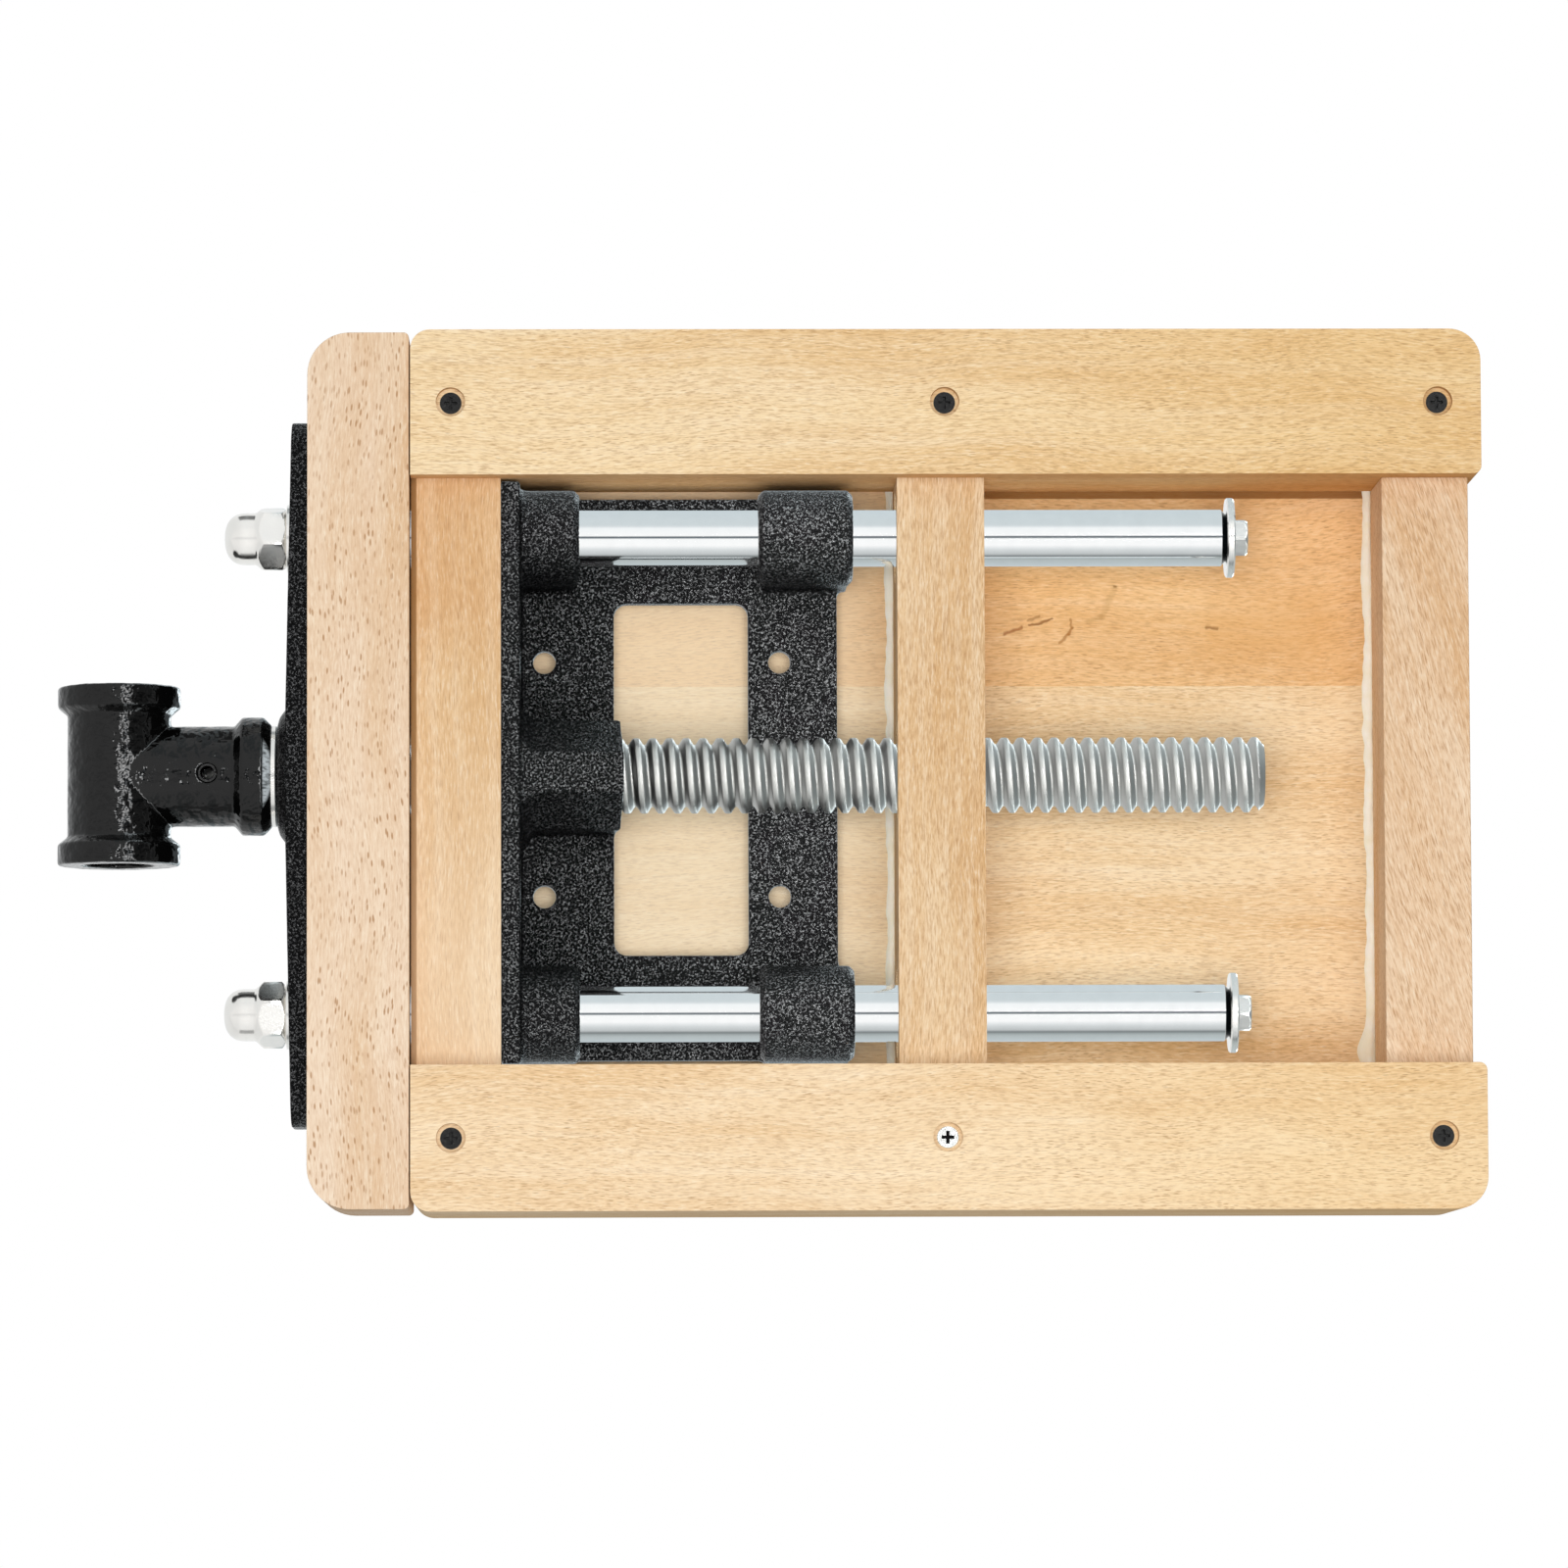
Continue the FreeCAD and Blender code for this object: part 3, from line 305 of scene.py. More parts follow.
def oiled_beech(name, base, turn, seed, flecks, fibre_depth, own_marks=None):
    """Planed beech under thin oil: short dark ray flecks, fine fibre and slow changes of tone.

    turn lays the grain along the piece and seed picks its place in the log. flecks is the share of
    the fleck colour, and the flecks' spacing along and across the grain in millimetres.
    """
    beech = bpy.context.scene.vise.beech
    material, tree, shader = new_material(name)
    place = add(tree, "Mapping", {"Vector": add(tree, "TexCoord", out="Object"),
                                  "Rotation": (0, 0, turn),
                                  "Location": (seed, seed * 0.37, seed * 0.61)})
    # Grain that wanders by a few millimetres over a hand's width.
    grain = wandered(tree, place, 11.0, (0, 12, 12), 1.0)
    # Tone changes over 140 by 24 mm, growth bands are 4 mm apart, and the fibre is drawn 0.6 mm
    # wide and 4.5 mm long, coarser than it is, so that it shows.
    tone = stretched(tree, grain, (7, 42, 42), detail=3.0)
    bands = stretched(tree, grain, (5, 260, 260))
    fibre = stretched(tree, grain, (220, 1600, 1600), detail=3.0, roughness=0.6)
    fleck_depth, long, wide = flecks
    marks = flecked(tree, grain, long, wide, beech.fleck_share)
    # Patches of 25 by 11 mm where the flecks are fainter.
    patch = stretched(tree, place, (40, 90, 90), detail=1.0)
    deep = add(tree, "MapRange", tone, 0.35, 0.75, 0.0, 0.7)
    surface = layered(tree, base, (deep, "#E9D2B0"), mode="MULTIPLY")
    faint = add(tree, "MapRange", patch, 0.3, 0.65, 0.35 * fleck_depth, fleck_depth)
    surface = layered(
        tree, surface, (add(tree, "MapRange", bands, 0.45, 0.85, 0.0, 0.3), "#FFF3DC"),
        (add(tree, "MapRange", fibre, 0.48, 0.72, 0.0, fibre_depth * 1.3), beech.fleck),
        (add(tree, "MapRange", fibre, 0.28, 0.46, 0.4, 0.0), "#FFF6E2"),
        (add(tree, "Math", marks, faint, operation="MULTIPLY"), beech.fleck))
    if own_marks:
        surface = own_marks(tree, surface)
    height = add(tree, "Math", fibre, marks, operation="SUBTRACT")
    fill(tree, shader, {
        "Base Color": surface, "Roughness": 0.6, "Specular IOR Level": 0.0,
        "Normal": add(tree, "Bump", {"Height": height, "Strength": 0.25, "Distance": 0.12 * MM})})
    return material


# ---------------------------------------------------------------- paint, plate and glue

def wrinkle_paint(name, ior):
    """Black wrinkle enamel on sand-cast iron: worm-like ridges with a painted highlight on their
    tips, over dark hollows.
    """
    iron = bpy.context.scene.vise.iron
    material, tree, shader = new_material(name)
    place = add(tree, "TexCoord", out="Object")
    size = 1 / iron.wrinkle
    warp = add(tree, "TexNoise", {"Vector": place, "Scale": size * 0.8}, out="Color")
    warped = add(tree, "VectorMath", warp, (iron.wrinkle * 0.9,) * 3, place,
                 operation="MULTIPLY_ADD")
    ridges = add(tree, "TexNoise", {"Vector": warped, "Scale": size * 0.75, "Detail": 2.0,
                                    "Roughness": 0.6})
    # The sand left lumps of 9 mm.
    lumps = stretched(tree, place, (110, 110, 110))
    height = add(tree, "Math", lumps, 0.6, ridges, operation="MULTIPLY_ADD")
    # Painted highlight: the wrinkles' tips are painted a brighter grey.
    wear_and_highlight = add(tree, "MapRange", ridges, 0.52, 0.68)
    # The hollows mirror little, because each is shaded by its own walls. The paint ran smooth on
    # steep walls, and gathered in thicker wrinkles toward the rear.
    coat = add(tree, "Math", add(tree, "MapRange", axes(tree, "Normal")[2], -0.93, -0.55, 1.0, 0.3),
               add(tree, "MapRange", axes(tree)[0], -0.06, -0.02, 0.8, 1.25),
               operation="MULTIPLY")
    tips = add(tree, "Math", add(tree, "MapRange", ridges, 0.51, 0.62, 0.05, 1.0), coat,
               operation="MULTIPLY")
    fill(tree, shader, {
        "Base Color": layered(tree, iron.paint, (wear_and_highlight, iron.paint_highlight)),
        "Specular IOR Level": tips, "IOR": ior,
        "Roughness": add(tree, "MapRange", lumps, 0.3, 0.7, 0.14, 0.22),
        "Normal": add(tree, "Bump", {"Height": height, "Strength": 1.0, "Distance": 1.1 * MM})})
    return material


def gloss_enamel():
    """Thick gloss enamel over the rough skin of a cast pipe fitting, with a painted reflection on
    its end's chamfer.
    """
    material, tree, shader = new_material("gloss_black_enamel")
    place = add(tree, "TexCoord", out="Object")
    x, _, z = axes(tree)
    # Lumps of 5 to 7 mm under runs of 2 mm. The run kept its sand skin, and the branch was rubbed
    # smoother before it was painted.
    lumps = stretched(tree, place, (150, 190, 150))
    runs = stretched(tree, place, (520, 400, 520), detail=1.0, roughness=0.6)
    skin = add(tree, "MapRange", x, -0.236, -0.222, 0.26, 0.08)
    height = add(tree, "Math", runs, skin, lumps, operation="MULTIPLY_ADD")
    # Painted reflection: a bright bluish streak on the end's chamfer, on the side that faces down.
    lap = add(tree, "Math", add(tree, "MapRange", x, -0.1909, -0.1903),
              add(tree, "MapRange", z, 0.0172, 0.0186, 1.0, 0.0), operation="MULTIPLY")
    reflection_breakup = stretched(tree, place, (300, 900, 300), detail=3.0)
    painted_reflection = add(tree, "Math", lap, add(tree, "MapRange", reflection_breakup, 0.35, 0.55, 0.25, 1.0),
               operation="MULTIPLY")
    fill(tree, shader, {
        "Base Color": layered(tree, bpy.context.scene.vise.iron.gloss, (painted_reflection, "#D5DEE2")),
        "Roughness": add(tree, "MapRange", runs, 0.3, 0.7, 0.06, 0.13), "IOR": 1.4,
        "Normal": add(tree, "Bump", {"Height": height, "Strength": 0.8, "Distance": 1.1 * MM})})
    return material


def plated_steel(name, base, low, high, brush, mottle=0.12, strength=0.15):
    """Plated steel with a fine brushed grain and faint clouds in the plate.

    low and high bound its roughness, and brush is the grain along X, Y and Z in millimetres.
    """
    material, tree, shader = new_material(name)
    place = add(tree, "TexCoord", out="Object")
    lines = stretched(tree, place, [1 / (size * MM) for size in brush], detail=3.0)
    clouds = stretched(tree, place, (160, 160, 160), detail=3.0)
    cloudy = add(tree, "MapRange", clouds, 0.35, 0.75, 0.0, mottle)
    fill(tree, shader, {
        "Base Color": layered(tree, base, (cloudy, "#7F868A")),
        "Roughness": add(tree, "MapRange", lines, 0.3, 0.7, low, high), "Metallic": 1.0,
        "Normal": add(tree, "Bump", {"Height": lines, "Strength": strength,
                                     "Distance": 0.02 * MM})})
    return material


def darkened(material, axis, start, soft, code):
    """Darken a plate past start on an axis: a rod's rear chamfer, and painted shade in a recess."""
    tree = material.node_tree
    past = add(tree, "MapRange", axes(tree)[axis], start, start + soft)
    painted_over(material, past, code)


def painted_shade_bore(material, centre):
    """Blacken a spring pin's hollow with painted shade, where no light gets in."""
    tree = material.node_tree
    off = add(tree, "VectorMath", add(tree, "TexCoord", out="Object"), centre,
              operation="SUBTRACT")
    off = add(tree, "VectorMath", off, (1, 1, 0), operation="MULTIPLY")
    off = add(tree, "VectorMath", off, operation="LENGTH", out="Value")
    inner, outer = 2.6 * MM, 2.8 * MM
    sheen = add(tree, "MapRange", off, inner, outer, 0.0, 0.3)
    fill(tree, tree.nodes["Principled BSDF"], {"Specular IOR Level": sheen})
    return painted_over(material, add(tree, "MapRange", off, inner, outer, 1.0, 0.0), "#000000")


def phosphate(name):
    """Black phosphate and oil on hardened steel: a dull black skin, greyer where it is worn."""
    material, tree, shader = new_material(name)
    # The skin is worn in spots of 1 mm.
    wear = stretched(tree, add(tree, "TexCoord", out="Object"), (900, 900, 900), detail=3.0)
    wear_and_highlight = add(tree, "MapRange", wear, 0.5, 0.8)
    fill(tree, shader, {
        "Base Color": layered(tree, bpy.context.scene.vise.steel.black, (wear_and_highlight, "#323231")),
        "Roughness": add(tree, "MapRange", wear, 0.3, 0.7, 0.32, 0.5), "Specular IOR Level": 0.2,
        "Normal": add(tree, "Bump", {"Height": wear, "Strength": 0.3, "Distance": 0.05 * MM})})
    return material


def dried_glue():
    """Dried white wood glue: a creamy, slightly clear skin with a soft sheen."""
    material, tree, shader = new_material("dried_wood_glue")
    # Clouds of 6 mm, as thick as the bead.
    clouds = stretched(tree, add(tree, "TexCoord", out="Object"), (180, 180, 180), detail=3.0)
    cloudy = add(tree, "MapRange", clouds, 0.35, 0.7)
    fill(tree, shader, {
        "Base Color": layered(tree, bpy.context.scene.vise.glue.shade, (cloudy, "#FAF4DE")),
        "Roughness": 0.38, "IOR": 1.47, "Subsurface Weight": 0.15,
        "Subsurface Radius": (2 * MM, 1.5 * MM, 1 * MM),
        "Normal": add(tree, "Bump", {"Height": clouds, "Strength": 0.3, "Distance": 0.5 * MM})})
    return material


# ---------------------------------------------------------------- shape tools

# Points nearer than this are one point.
JOINED = 0.002 * MM


def meshed(bm, name):
    """A bmesh as a mesh; the bmesh is freed."""
    mesh = bpy.data.meshes.new(name)
    bm.to_mesh(mesh)
    bm.free()
    return mesh


def stood(data, name):
    """A new object in the scene for a mesh, a lamp or a camera."""
    made = bpy.data.objects.new(name, data)
    bpy.context.scene.collection.objects.link(made)
    return made


def shown(bm, name, body, nodes, material, sharp=35.0):
    """Turn a bmesh into a finished piece: outward normals, smooth skin and true edges."""
    bmesh.ops.recalc_face_normals(bm, faces=bm.faces)
    for face in bm.faces:
        face.smooth = True
    for edge in bm.edges:
        edge.smooth = not (edge.is_manifold and edge.calc_face_angle() > math.radians(sharp))
    return placed(meshed(bm, name), name, body, nodes, material)


def placed(mesh, name, body, nodes, material):
    """A finished mesh as a piece that rides on its body and stands for its CAD nodes."""
    piece = stood(mesh, name)
    mesh.materials.clear()
    mesh.materials.append(material)
    if nodes:
        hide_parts(*nodes)
    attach(piece, body)
    return piece


def body_of(node):
    return next(name for name, members in frame["record"]["behaviour"]["bodies"].items()
                if node in members)


def merged(node):
    """A copy of a CAD node's mesh with its loose triangles joined."""
    bm = bmesh.new()
    bm.from_mesh(frame["nodes"][node].data)
    bmesh.ops.remove_doubles(bm, verts=bm.verts, dist=JOINED)
    return bm


def copied(node):
    """A merged copy of a CAD node whose flat triangles are one face."""
    bm = merged(node)
    bmesh.ops.dissolve_limit(bm, angle_limit=math.radians(0.6), verts=bm.verts, edges=bm.edges)
    return bm


def eased(piece, width, segments=3):
    """A small round on each true edge of a piece."""
    round_over = piece.modifiers.new("edge_round", "BEVEL")
    round_over.width = width
    round_over.segments = segments
    round_over.limit_method = "ANGLE"
    round_over.angle_limit = math.radians(40)
    round_over.harden_normals = True


def turned(bm, corners, centre, steps, direction=1, pitch=0.0):
    """Spin a profile of (along, radius) pairs about an axis parallel to X through centre.

    With a pitch it winds one turn of a thread.
    """
    verts = [bm.verts.new(centre + Vector((direction * along, radius, 0)))
             for along, radius in corners]
    edges = [bm.edges.new(pair) for pair in zip(verts, verts[1:])]
    bmesh.ops.spin(bm, geom=verts + edges, cent=centre, axis=(1, 0, 0),
                   dvec=(pitch / steps, 0, 0), angle=2 * math.pi, steps=steps,
                   use_merge=not pitch, use_duplicate=False)
    bmesh.ops.remove_doubles(bm, verts=bm.verts, dist=JOINED / 4)


def repeated(bm, count, pitch):
    """Count copies of one turn of a thread, end to end along X."""
    turn = stood(meshed(bm, "one_turn"), "one_turn")
    array = turn.modifiers.new("turns", "ARRAY")
    array.count = count
    array.use_relative_offset = False
    array.use_constant_offset = True
    array.constant_offset_displace = (pitch, 0, 0)
    array.use_merge_vertices = True
    array.merge_threshold = JOINED
    bm = bmesh.new()
    bm.from_object(turn, bpy.context.evaluated_depsgraph_get())
    bpy.data.objects.remove(turn)
    bmesh.ops.remove_doubles(bm, verts=bm.verts, dist=JOINED)
    return bm


def sloped(first, last, steps=10):
    """Points along a chamfer, close enough together for its edge with a flat to curve."""
    return [tuple(a + (b - a) * n / steps for a, b in zip(first, last)) for n in range(steps + 1)]


def drawn_in(vert, centre, limit):
    """Bring a point in to a radius of limit about an axis parallel to X through centre."""
    axis = Vector((vert.co.x, centre.y, centre.z))
    out = vert.co - axis
    if out.length > limit:
        vert.co = axis + out * (limit / out.length)


def hexed(bm, centre, across_flats, reach, turn):
    """Press a turned blank into six flats, from the centre's x to reach beyond it."""
    for vert in bm.verts:
        if min(0, reach) <= vert.co.x - centre.x <= max(0, reach):
            angle = math.atan2(vert.co.z - centre.z, vert.co.y - centre.y) - turn
            off_middle = angle % (math.pi / 3) - math.pi / 6
            drawn_in(vert, centre, across_flats / 2 / math.cos(off_middle))


def rod_axis():
    """How far each guide rod's axis is from the middle, and how high."""
    low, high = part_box("left_guide_rod")
    return (low.y + high.y) / 2, (low.z + high.z) / 2


def hexed_pair(name, node, material, profile, face, direction, flats, hexagon, turns):
    """On each rod's axis, a blank turned from face on and hexed; turns are in degrees."""
    y, z = rod_axis()
    bm = bmesh.new()
    for side, turn in zip((1, -1), turns):
        blank, centre = bmesh.new(), Vector((face, side * y, z))
        turned(blank, profile, centre, 96, direction)
        hexed(blank, centre, flats, direction * hexagon, math.radians(turn))
        part = meshed(blank, "blank")
        bm.from_mesh(part)
        bpy.data.meshes.remove(part)
    shown(bm, name, "jaw", [node], material, 25)


def rings(name, node, bore, material, sides, z, edge=0.25 * MM):
    """Stamped washers at a CAD node's place, with a rolled outer edge."""
    low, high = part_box(node)
    outer = (high.z - low.z) / 2
    bm = bmesh.new()
    for y in sides:
        turned(bm, [(low.x, bore), (low.x, outer - edge), (low.x + edge, outer),
                    (high.x - edge, outer), (high.x, outer - edge), (high.x, bore),
                    (low.x, bore)], Vector((0, y, z)), 96)
    shown(bm, name, body_of(node), [node], material, 25)


def melted(mesh, fillet_rounds, round_rounds):
    """Smooth a fine grid mesh as sand casting does: wide fillets inside, small rounds outside."""
    count = len(mesh.vertices)
    points, normals = np.empty(count * 3), np.empty(count * 3)
    mesh.vertices.foreach_get("co", points)
    mesh.vertices.foreach_get("normal", normals)
    points, normals = points.reshape(-1, 3), normals.reshape(-1, 3)
    ends = np.empty(len(mesh.edges) * 2, int)
    mesh.edges.foreach_get("vertices", ends)
    near, far = ends.reshape(-1, 2).T
    degree = np.bincount(ends, minlength=count)[:, None]

    def averaged(values):
        """The mean of each point's neighbours."""
        total = np.stack([np.bincount(near, values[far, i], count)
                          + np.bincount(far, values[near, i], count)
                          for i in range(values.shape[1])], axis=1)
        return total / degree

    pull = averaged(points) - points
    for _ in range(2):
        pull = averaged(pull)
    # A point lies in an inside corner where its neighbours stand this much further out.
    least_pull = 0.035 * bpy.context.scene.vise.iron.grain
    hollow = np.einsum("ij,ij->i", pull, normals) > least_pull
    weight = hollow[:, None].astype(float)
    for _ in range(5):
        weight = np.maximum(weight, averaged(weight))
    weight = np.clip(weight * 1.5, 0, 1)
    for share, rounds in ((0.55 * weight, fillet_rounds), (0.5, round_rounds)):
        for _ in range(rounds):
            points += share * (averaged(points) - points)
    mesh.vertices.foreach_set("co", points.ravel())
    mesh.update()


def evaluated(piece):
    """The mesh that a piece's modifiers make of it."""
    return bpy.data.meshes.new_from_object(
        piece.evaluated_get(bpy.context.evaluated_depsgraph_get()))


def cast(node, name, material, voxel, fillet_rounds, round_rounds, keep, lumps=0.0):
    """A CAD node as a casting: regridded, melted at its corners and thinned where it is flat."""
    pattern = stood(meshed(merged(node), name + "_pattern"), name + "_pattern")
    grid = pattern.modifiers.new("grid", "REMESH")
    grid.mode = "VOXEL"
    grid.voxel_size = voxel
    grid.use_smooth_shade = True
    gridded = evaluated(pattern)
    pattern.modifiers.clear()
    melted(gridded, fillet_rounds, round_rounds)
    if lumps:
        # The mould's sand leaves lumps of 5 mm.
        raised = [vert.co + vert.normal * lumps * noise.fractal(vert.co * 190, 0.7, 2.0, 3)
                  for vert in gridded.vertices]
        gridded.vertices.foreach_set("co", np.array(raised).ravel())
    pattern.data = gridded
    pattern.modifiers.new("thinned", "DECIMATE").ratio = keep
    mesh = evaluated(pattern)
    bpy.data.objects.remove(pattern)
    for polygon in mesh.polygons:
        polygon.use_smooth = True
    placed(mesh, name, body_of(node), [node], material)


# ---------------------------------------------------------------- pieces

class VISE_OT_beech(bpy.types.Operator):
    """Give the board, rails, cross members and jaw their eased edges and grain"""
    bl_idname = "vise.beech"
    bl_label = "Beech pieces"

    def execute(self, context):
        beech = context.scene.vise.beech
        along, across = 0.0, math.pi / 2
        rail_flecks, cross_flecks = (0.6, 5.0, 0.6), (0.4, 8.0, 0.7)
        for node, slot, wood, base, turn, seed, flecks, fibre_depth, own_marks in (
                ("top_board", "board", "board", beech.board, along, 0.0, (0.45, 4.5, 0.8), 0.32,
                 board_faults),
                ("left_rail", "rail", "left_rail", beech.left_rail, along, 1.3, rail_flecks, 0.3,
                 amber_end),
                ("right_rail", "rail", "right_rail", beech.rail, along, 2.9, rail_flecks, 0.34,
                 painted_shade_sides),
                ("front_cross_rail", "cross", "front_rail", beech.cross, across, 4.1, cross_flecks,
                 0.26, warm_end),
                ("middle_brace", "cross", "brace", beech.cross, across, 5.7, cross_flecks, 0.45,
                 None),
                # The rear rail's grain runs out of it at 15 degrees.
                ("rear_cross_rail", "cross", "rear_rail", beech.rear, across + 0.26, 6.2,
                 (0.55, 8.0, 0.9), 0.42, None),
                ("moving_jaw", "jaw", "jaw", beech.jaw, across, 8.4, (0.75, 5.5, 1.5), 0.22,
                 None)):
            material = oiled_beech("oiled_beech_" + wood, base, turn, seed, flecks, fibre_depth,
                                   own_marks)
            bm = copied(node)
            if node == "front_cross_rail":
                chamfered_front(bm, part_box(node)[0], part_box("left_rail")[0].x)
            piece = shown(bm, "beech_" + node, body_of(node), [node], material)
            eased(piece, beech.edge_round)
            # The studio's white panels stand closer to the bars than the wood does.
            piece.visible_glossy = False
        return {"FINISHED"}


def chamfered_front(bm, low, front):
    """Bring the front rail up to the side rails' ends, with a chamfer below where it met."""
    chamfer, near = low.x - front, 0.01 * MM
    face = [vert for vert in bm.verts if abs(vert.co.x - low.x) < near]
    bmesh.ops.translate(bm, verts=face, vec=(-chamfer, 0, 0))
    edge = [each for each in bm.edges
            if all(vert in face and abs(vert.co.z - low.z) < near for vert in each.verts)]
    bmesh.ops.bevel(bm, geom=edge, offset=chamfer, offset_type="OFFSET", affect="EDGES",
                    segments=1, profile=0.5, material=-1)


class VISE_OT_castings(bpy.types.Operator):
    """Cast the rear bracket and the front plate with fillets under wrinkle paint"""
    bl_idname = "vise.castings"
    bl_label = "Bracket and front plate"

    def execute(self, context):
        grain = context.scene.vise.iron.grain
        # The bracket's paint is thicker, and mirrors more.
        cast("rear_bracket", "cast_bracket", wrinkle_paint("black_wrinkle_enamel", 1.95),
             grain, 30, 2, keep=0.38)
        cast("front_plate", "cast_front_plate", wrinkle_paint("thin_black_wrinkle_enamel", 1.5),
             grain, 25, 4, keep=0.6)
        return {"FINISHED"}


class VISE_OT_handle_tee(bpy.types.Operator):
    """Cast the pipe tee with its lumpy gloss paint"""
    bl_idname = "vise.handle_tee"
    bl_label = "Handle tee"

    def execute(self, context):
        cast("handle_tee", "cast_handle_tee", gloss_enamel(), 0.5 * MM, 3, 2,
             keep=0.75, lumps=0.1 * MM)
        return {"FINISHED"}


class VISE_OT_lead_screw(bpy.types.Operator):
    """Wind the right-hand trapezoidal thread and turn the plain shank"""
    bl_idname = "vise.lead_screw"
    bl_label = "Lead screw"

    def execute(self, context):
        steel = context.scene.vise.steel
        low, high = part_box("lead_screw")
        centre = Vector((0, 0, (low.z + high.z) / 2))
        start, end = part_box("retaining_collar")[1].x, high.x
        root = (high.y - low.y) / 2 - steel.thread_depth
        bm = wound_thread(steel, centre, start, end, root)
        # Both ends are turned down to the root at 45 degrees.
        for vert in bm.verts:
            drawn_in(vert, centre, root + min(vert.co.x - start, end - vert.co.x))
        radius, chamfer, inside = 10.2 * MM, 0.6 * MM, start + 1 * MM
        turned(bm, [(low.x, 0), (low.x, radius - chamfer), (low.x + chamfer, radius),
                    (inside, radius), (inside, 0)], centre, 96)
        thread = plated_steel("zinc_plated_thread", steel.screw, 0.36, 0.46, (3, 1, 1), 0.15, 0.12)
        screw = shown(bm, "rolled_lead_screw", "screw", ["lead_screw"], thread, 50)
        screw.visible_glossy = False
        return {"FINISHED"}


def wound_thread(steel, centre, start, end, root):
    """A rolled thread from start to end, closed at both."""
    # Half a thread, as shares of pitch and depth: crest, rounded flank and root.
    half = [(0.0, 1.0), (0.1, 1.0), (0.15, 0.98), (0.19, 0.91), (0.24, 0.75), (0.3, 0.5),
            (0.36, 0.25), (0.41, 0.08), (0.45, 0.01), (0.5, 0.0)]
    # The first turn starts a pitch early, so that the cut at the start meets a whole rim.
    section = [(-1.0 - share, height) for share, height in reversed(half[1:])]
    section += [(share - 1.0, height) for share, height in half]
    bm = bmesh.new()
    turned(bm, [(start + share * steel.pitch, root + height * steel.thread_depth)
                for share, height in section], centre, steel.turn_steps, pitch=steel.pitch)
    bm = repeated(bm, math.ceil((end - start) / steel.pitch) + 2, steel.pitch)
    for edge_x, side in ((start, -1), (end, 1)):
        cut = bmesh.ops.bisect_plane(bm, geom=bm.verts[:] + bm.edges[:] + bm.faces[:],
                                     plane_co=(edge_x, 0, 0), plane_no=(side, 0, 0),
                                     clear_outer=True)
        rim = [edge for edge in cut["geom_cut"] if isinstance(edge, bmesh.types.BMEdge)]
        bmesh.ops.contextual_create(bm, geom=rim)
    return bm


class VISE_OT_guide_rods(bpy.types.Operator):
    """Turn the two ground guide rods"""
    bl_idname = "vise.guide_rods"
    bl_label = "Guide rods"

    def execute(self, context):
        chamfer, stud, point = 1.8 * MM, 7.0 * MM, 1 * MM
        ground = plated_steel("ground_plated_bar", context.scene.vise.steel.rod, 0.05, 0.08,
                              (60, 0.4, 0.4), 0.05, 0.04)
        # The rear end's chamfer is darkened to a dark grey.
        darkened(ground, 0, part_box("left_guide_rod")[1].x - chamfer, 0.2 * MM, "#3C4245")
        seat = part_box("moving_jaw")[0].x
        for node in ("left_guide_rod", "right_guide_rod"):
            low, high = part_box(node)
            middle, radius = (low + high) / 2, (high.y - low.y) / 2
            bm = bmesh.new()
            turned(bm, [(low.x, 0), (low.x, stud - point), (low.x + point, stud), (seat, stud),
                        (seat, radius), (high.x - chamfer, radius), (high.x, radius - chamfer),
                        (high.x, 0)], Vector((0, middle.y, middle.z)), 160)
            shown(bm, "ground_" + node, "jaw", [node], ground)
        return {"FINISHED"}


class VISE_OT_cap_nuts(bpy.types.Operator):
    """Forge the domed nuts and stamp the washers under them"""
    bl_idname = "vise.cap_nuts"
    bl_label = "Cap nuts and washers"

    def execute(self, context):
        zinc = plated_steel("bright_zinc_plate", context.scene.vise.steel.zinc, 0.15, 0.2,
                            (2, 2, 2), 0.05, 0.0)
        low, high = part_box("cap_nuts")
        tall, dome, crown = high.x - low.x, 9.9 * MM, 8.5 * MM
        flats, corner, hexagon = 22 * MM, 12.7 * MM, 11 * MM
        profile = [(0, 0)] + sloped((0, 10.4 * MM), (1.8 * MM, corner))
        profile += sloped((hexagon - 2.4 * MM, corner), (hexagon, 10.5 * MM))
        profile += [(hexagon + 0.5 * MM, 10.1 * MM), (hexagon + 1.2 * MM, dome),
                    (tall - crown, dome)]
        # The dome's end is fuller than a half ball.
        profile += [(tall - crown + crown * math.sin(a) ** 0.8, dome * math.cos(a) ** 0.8)
                    for a in (math.radians(7.5 * n) for n in range(1, 12))] + [(tall, 0)]
        hexed_pair("domed_cap_nuts", "cap_nuts", zinc, profile, high.x, -1, flats, hexagon, (8, 44))
        y, z = rod_axis()
        rings("stamped_cap_nut_washers", "cap_nut_washers", 7.1 * MM, zinc, (y, -y), z)
        return {"FINISHED"}


class VISE_OT_stops(bpy.types.Operator):
    """Fit the stop washers and bolts on the rods' rear ends"""
    bl_idname = "vise.stops"
    bl_label = "Stop washers and bolts"

    def execute(self, context):
        zinc = bpy.data.materials["bright_zinc_plate"]
        y, z = rod_axis()
        rings("stamped_stop_washers", "rod_end_washers", 4.1 * MM, zinc, (y, -y), z, 0.5 * MM)
        face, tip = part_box("rod_end_washers")[1].x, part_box("rod_end_bolts")[1].x
        tall, flats, corner, shank, inside = tip - face, 13 * MM, 7.5 * MM, 4 * MM, -17 * MM
        profile = [(inside, 0), (inside, shank), (0, shank), (0, 6.9 * MM), (0.3 * MM, corner)]
        profile += sloped((tall - 1.2 * MM, corner), (tall, 6.1 * MM)) + [(tall, 0)]
        hexed_pair("hexagon_rod_bolts", "rod_end_bolts", zinc, profile, face, 1, flats, tall,
                   (38, 41))
        return {"FINISHED"}


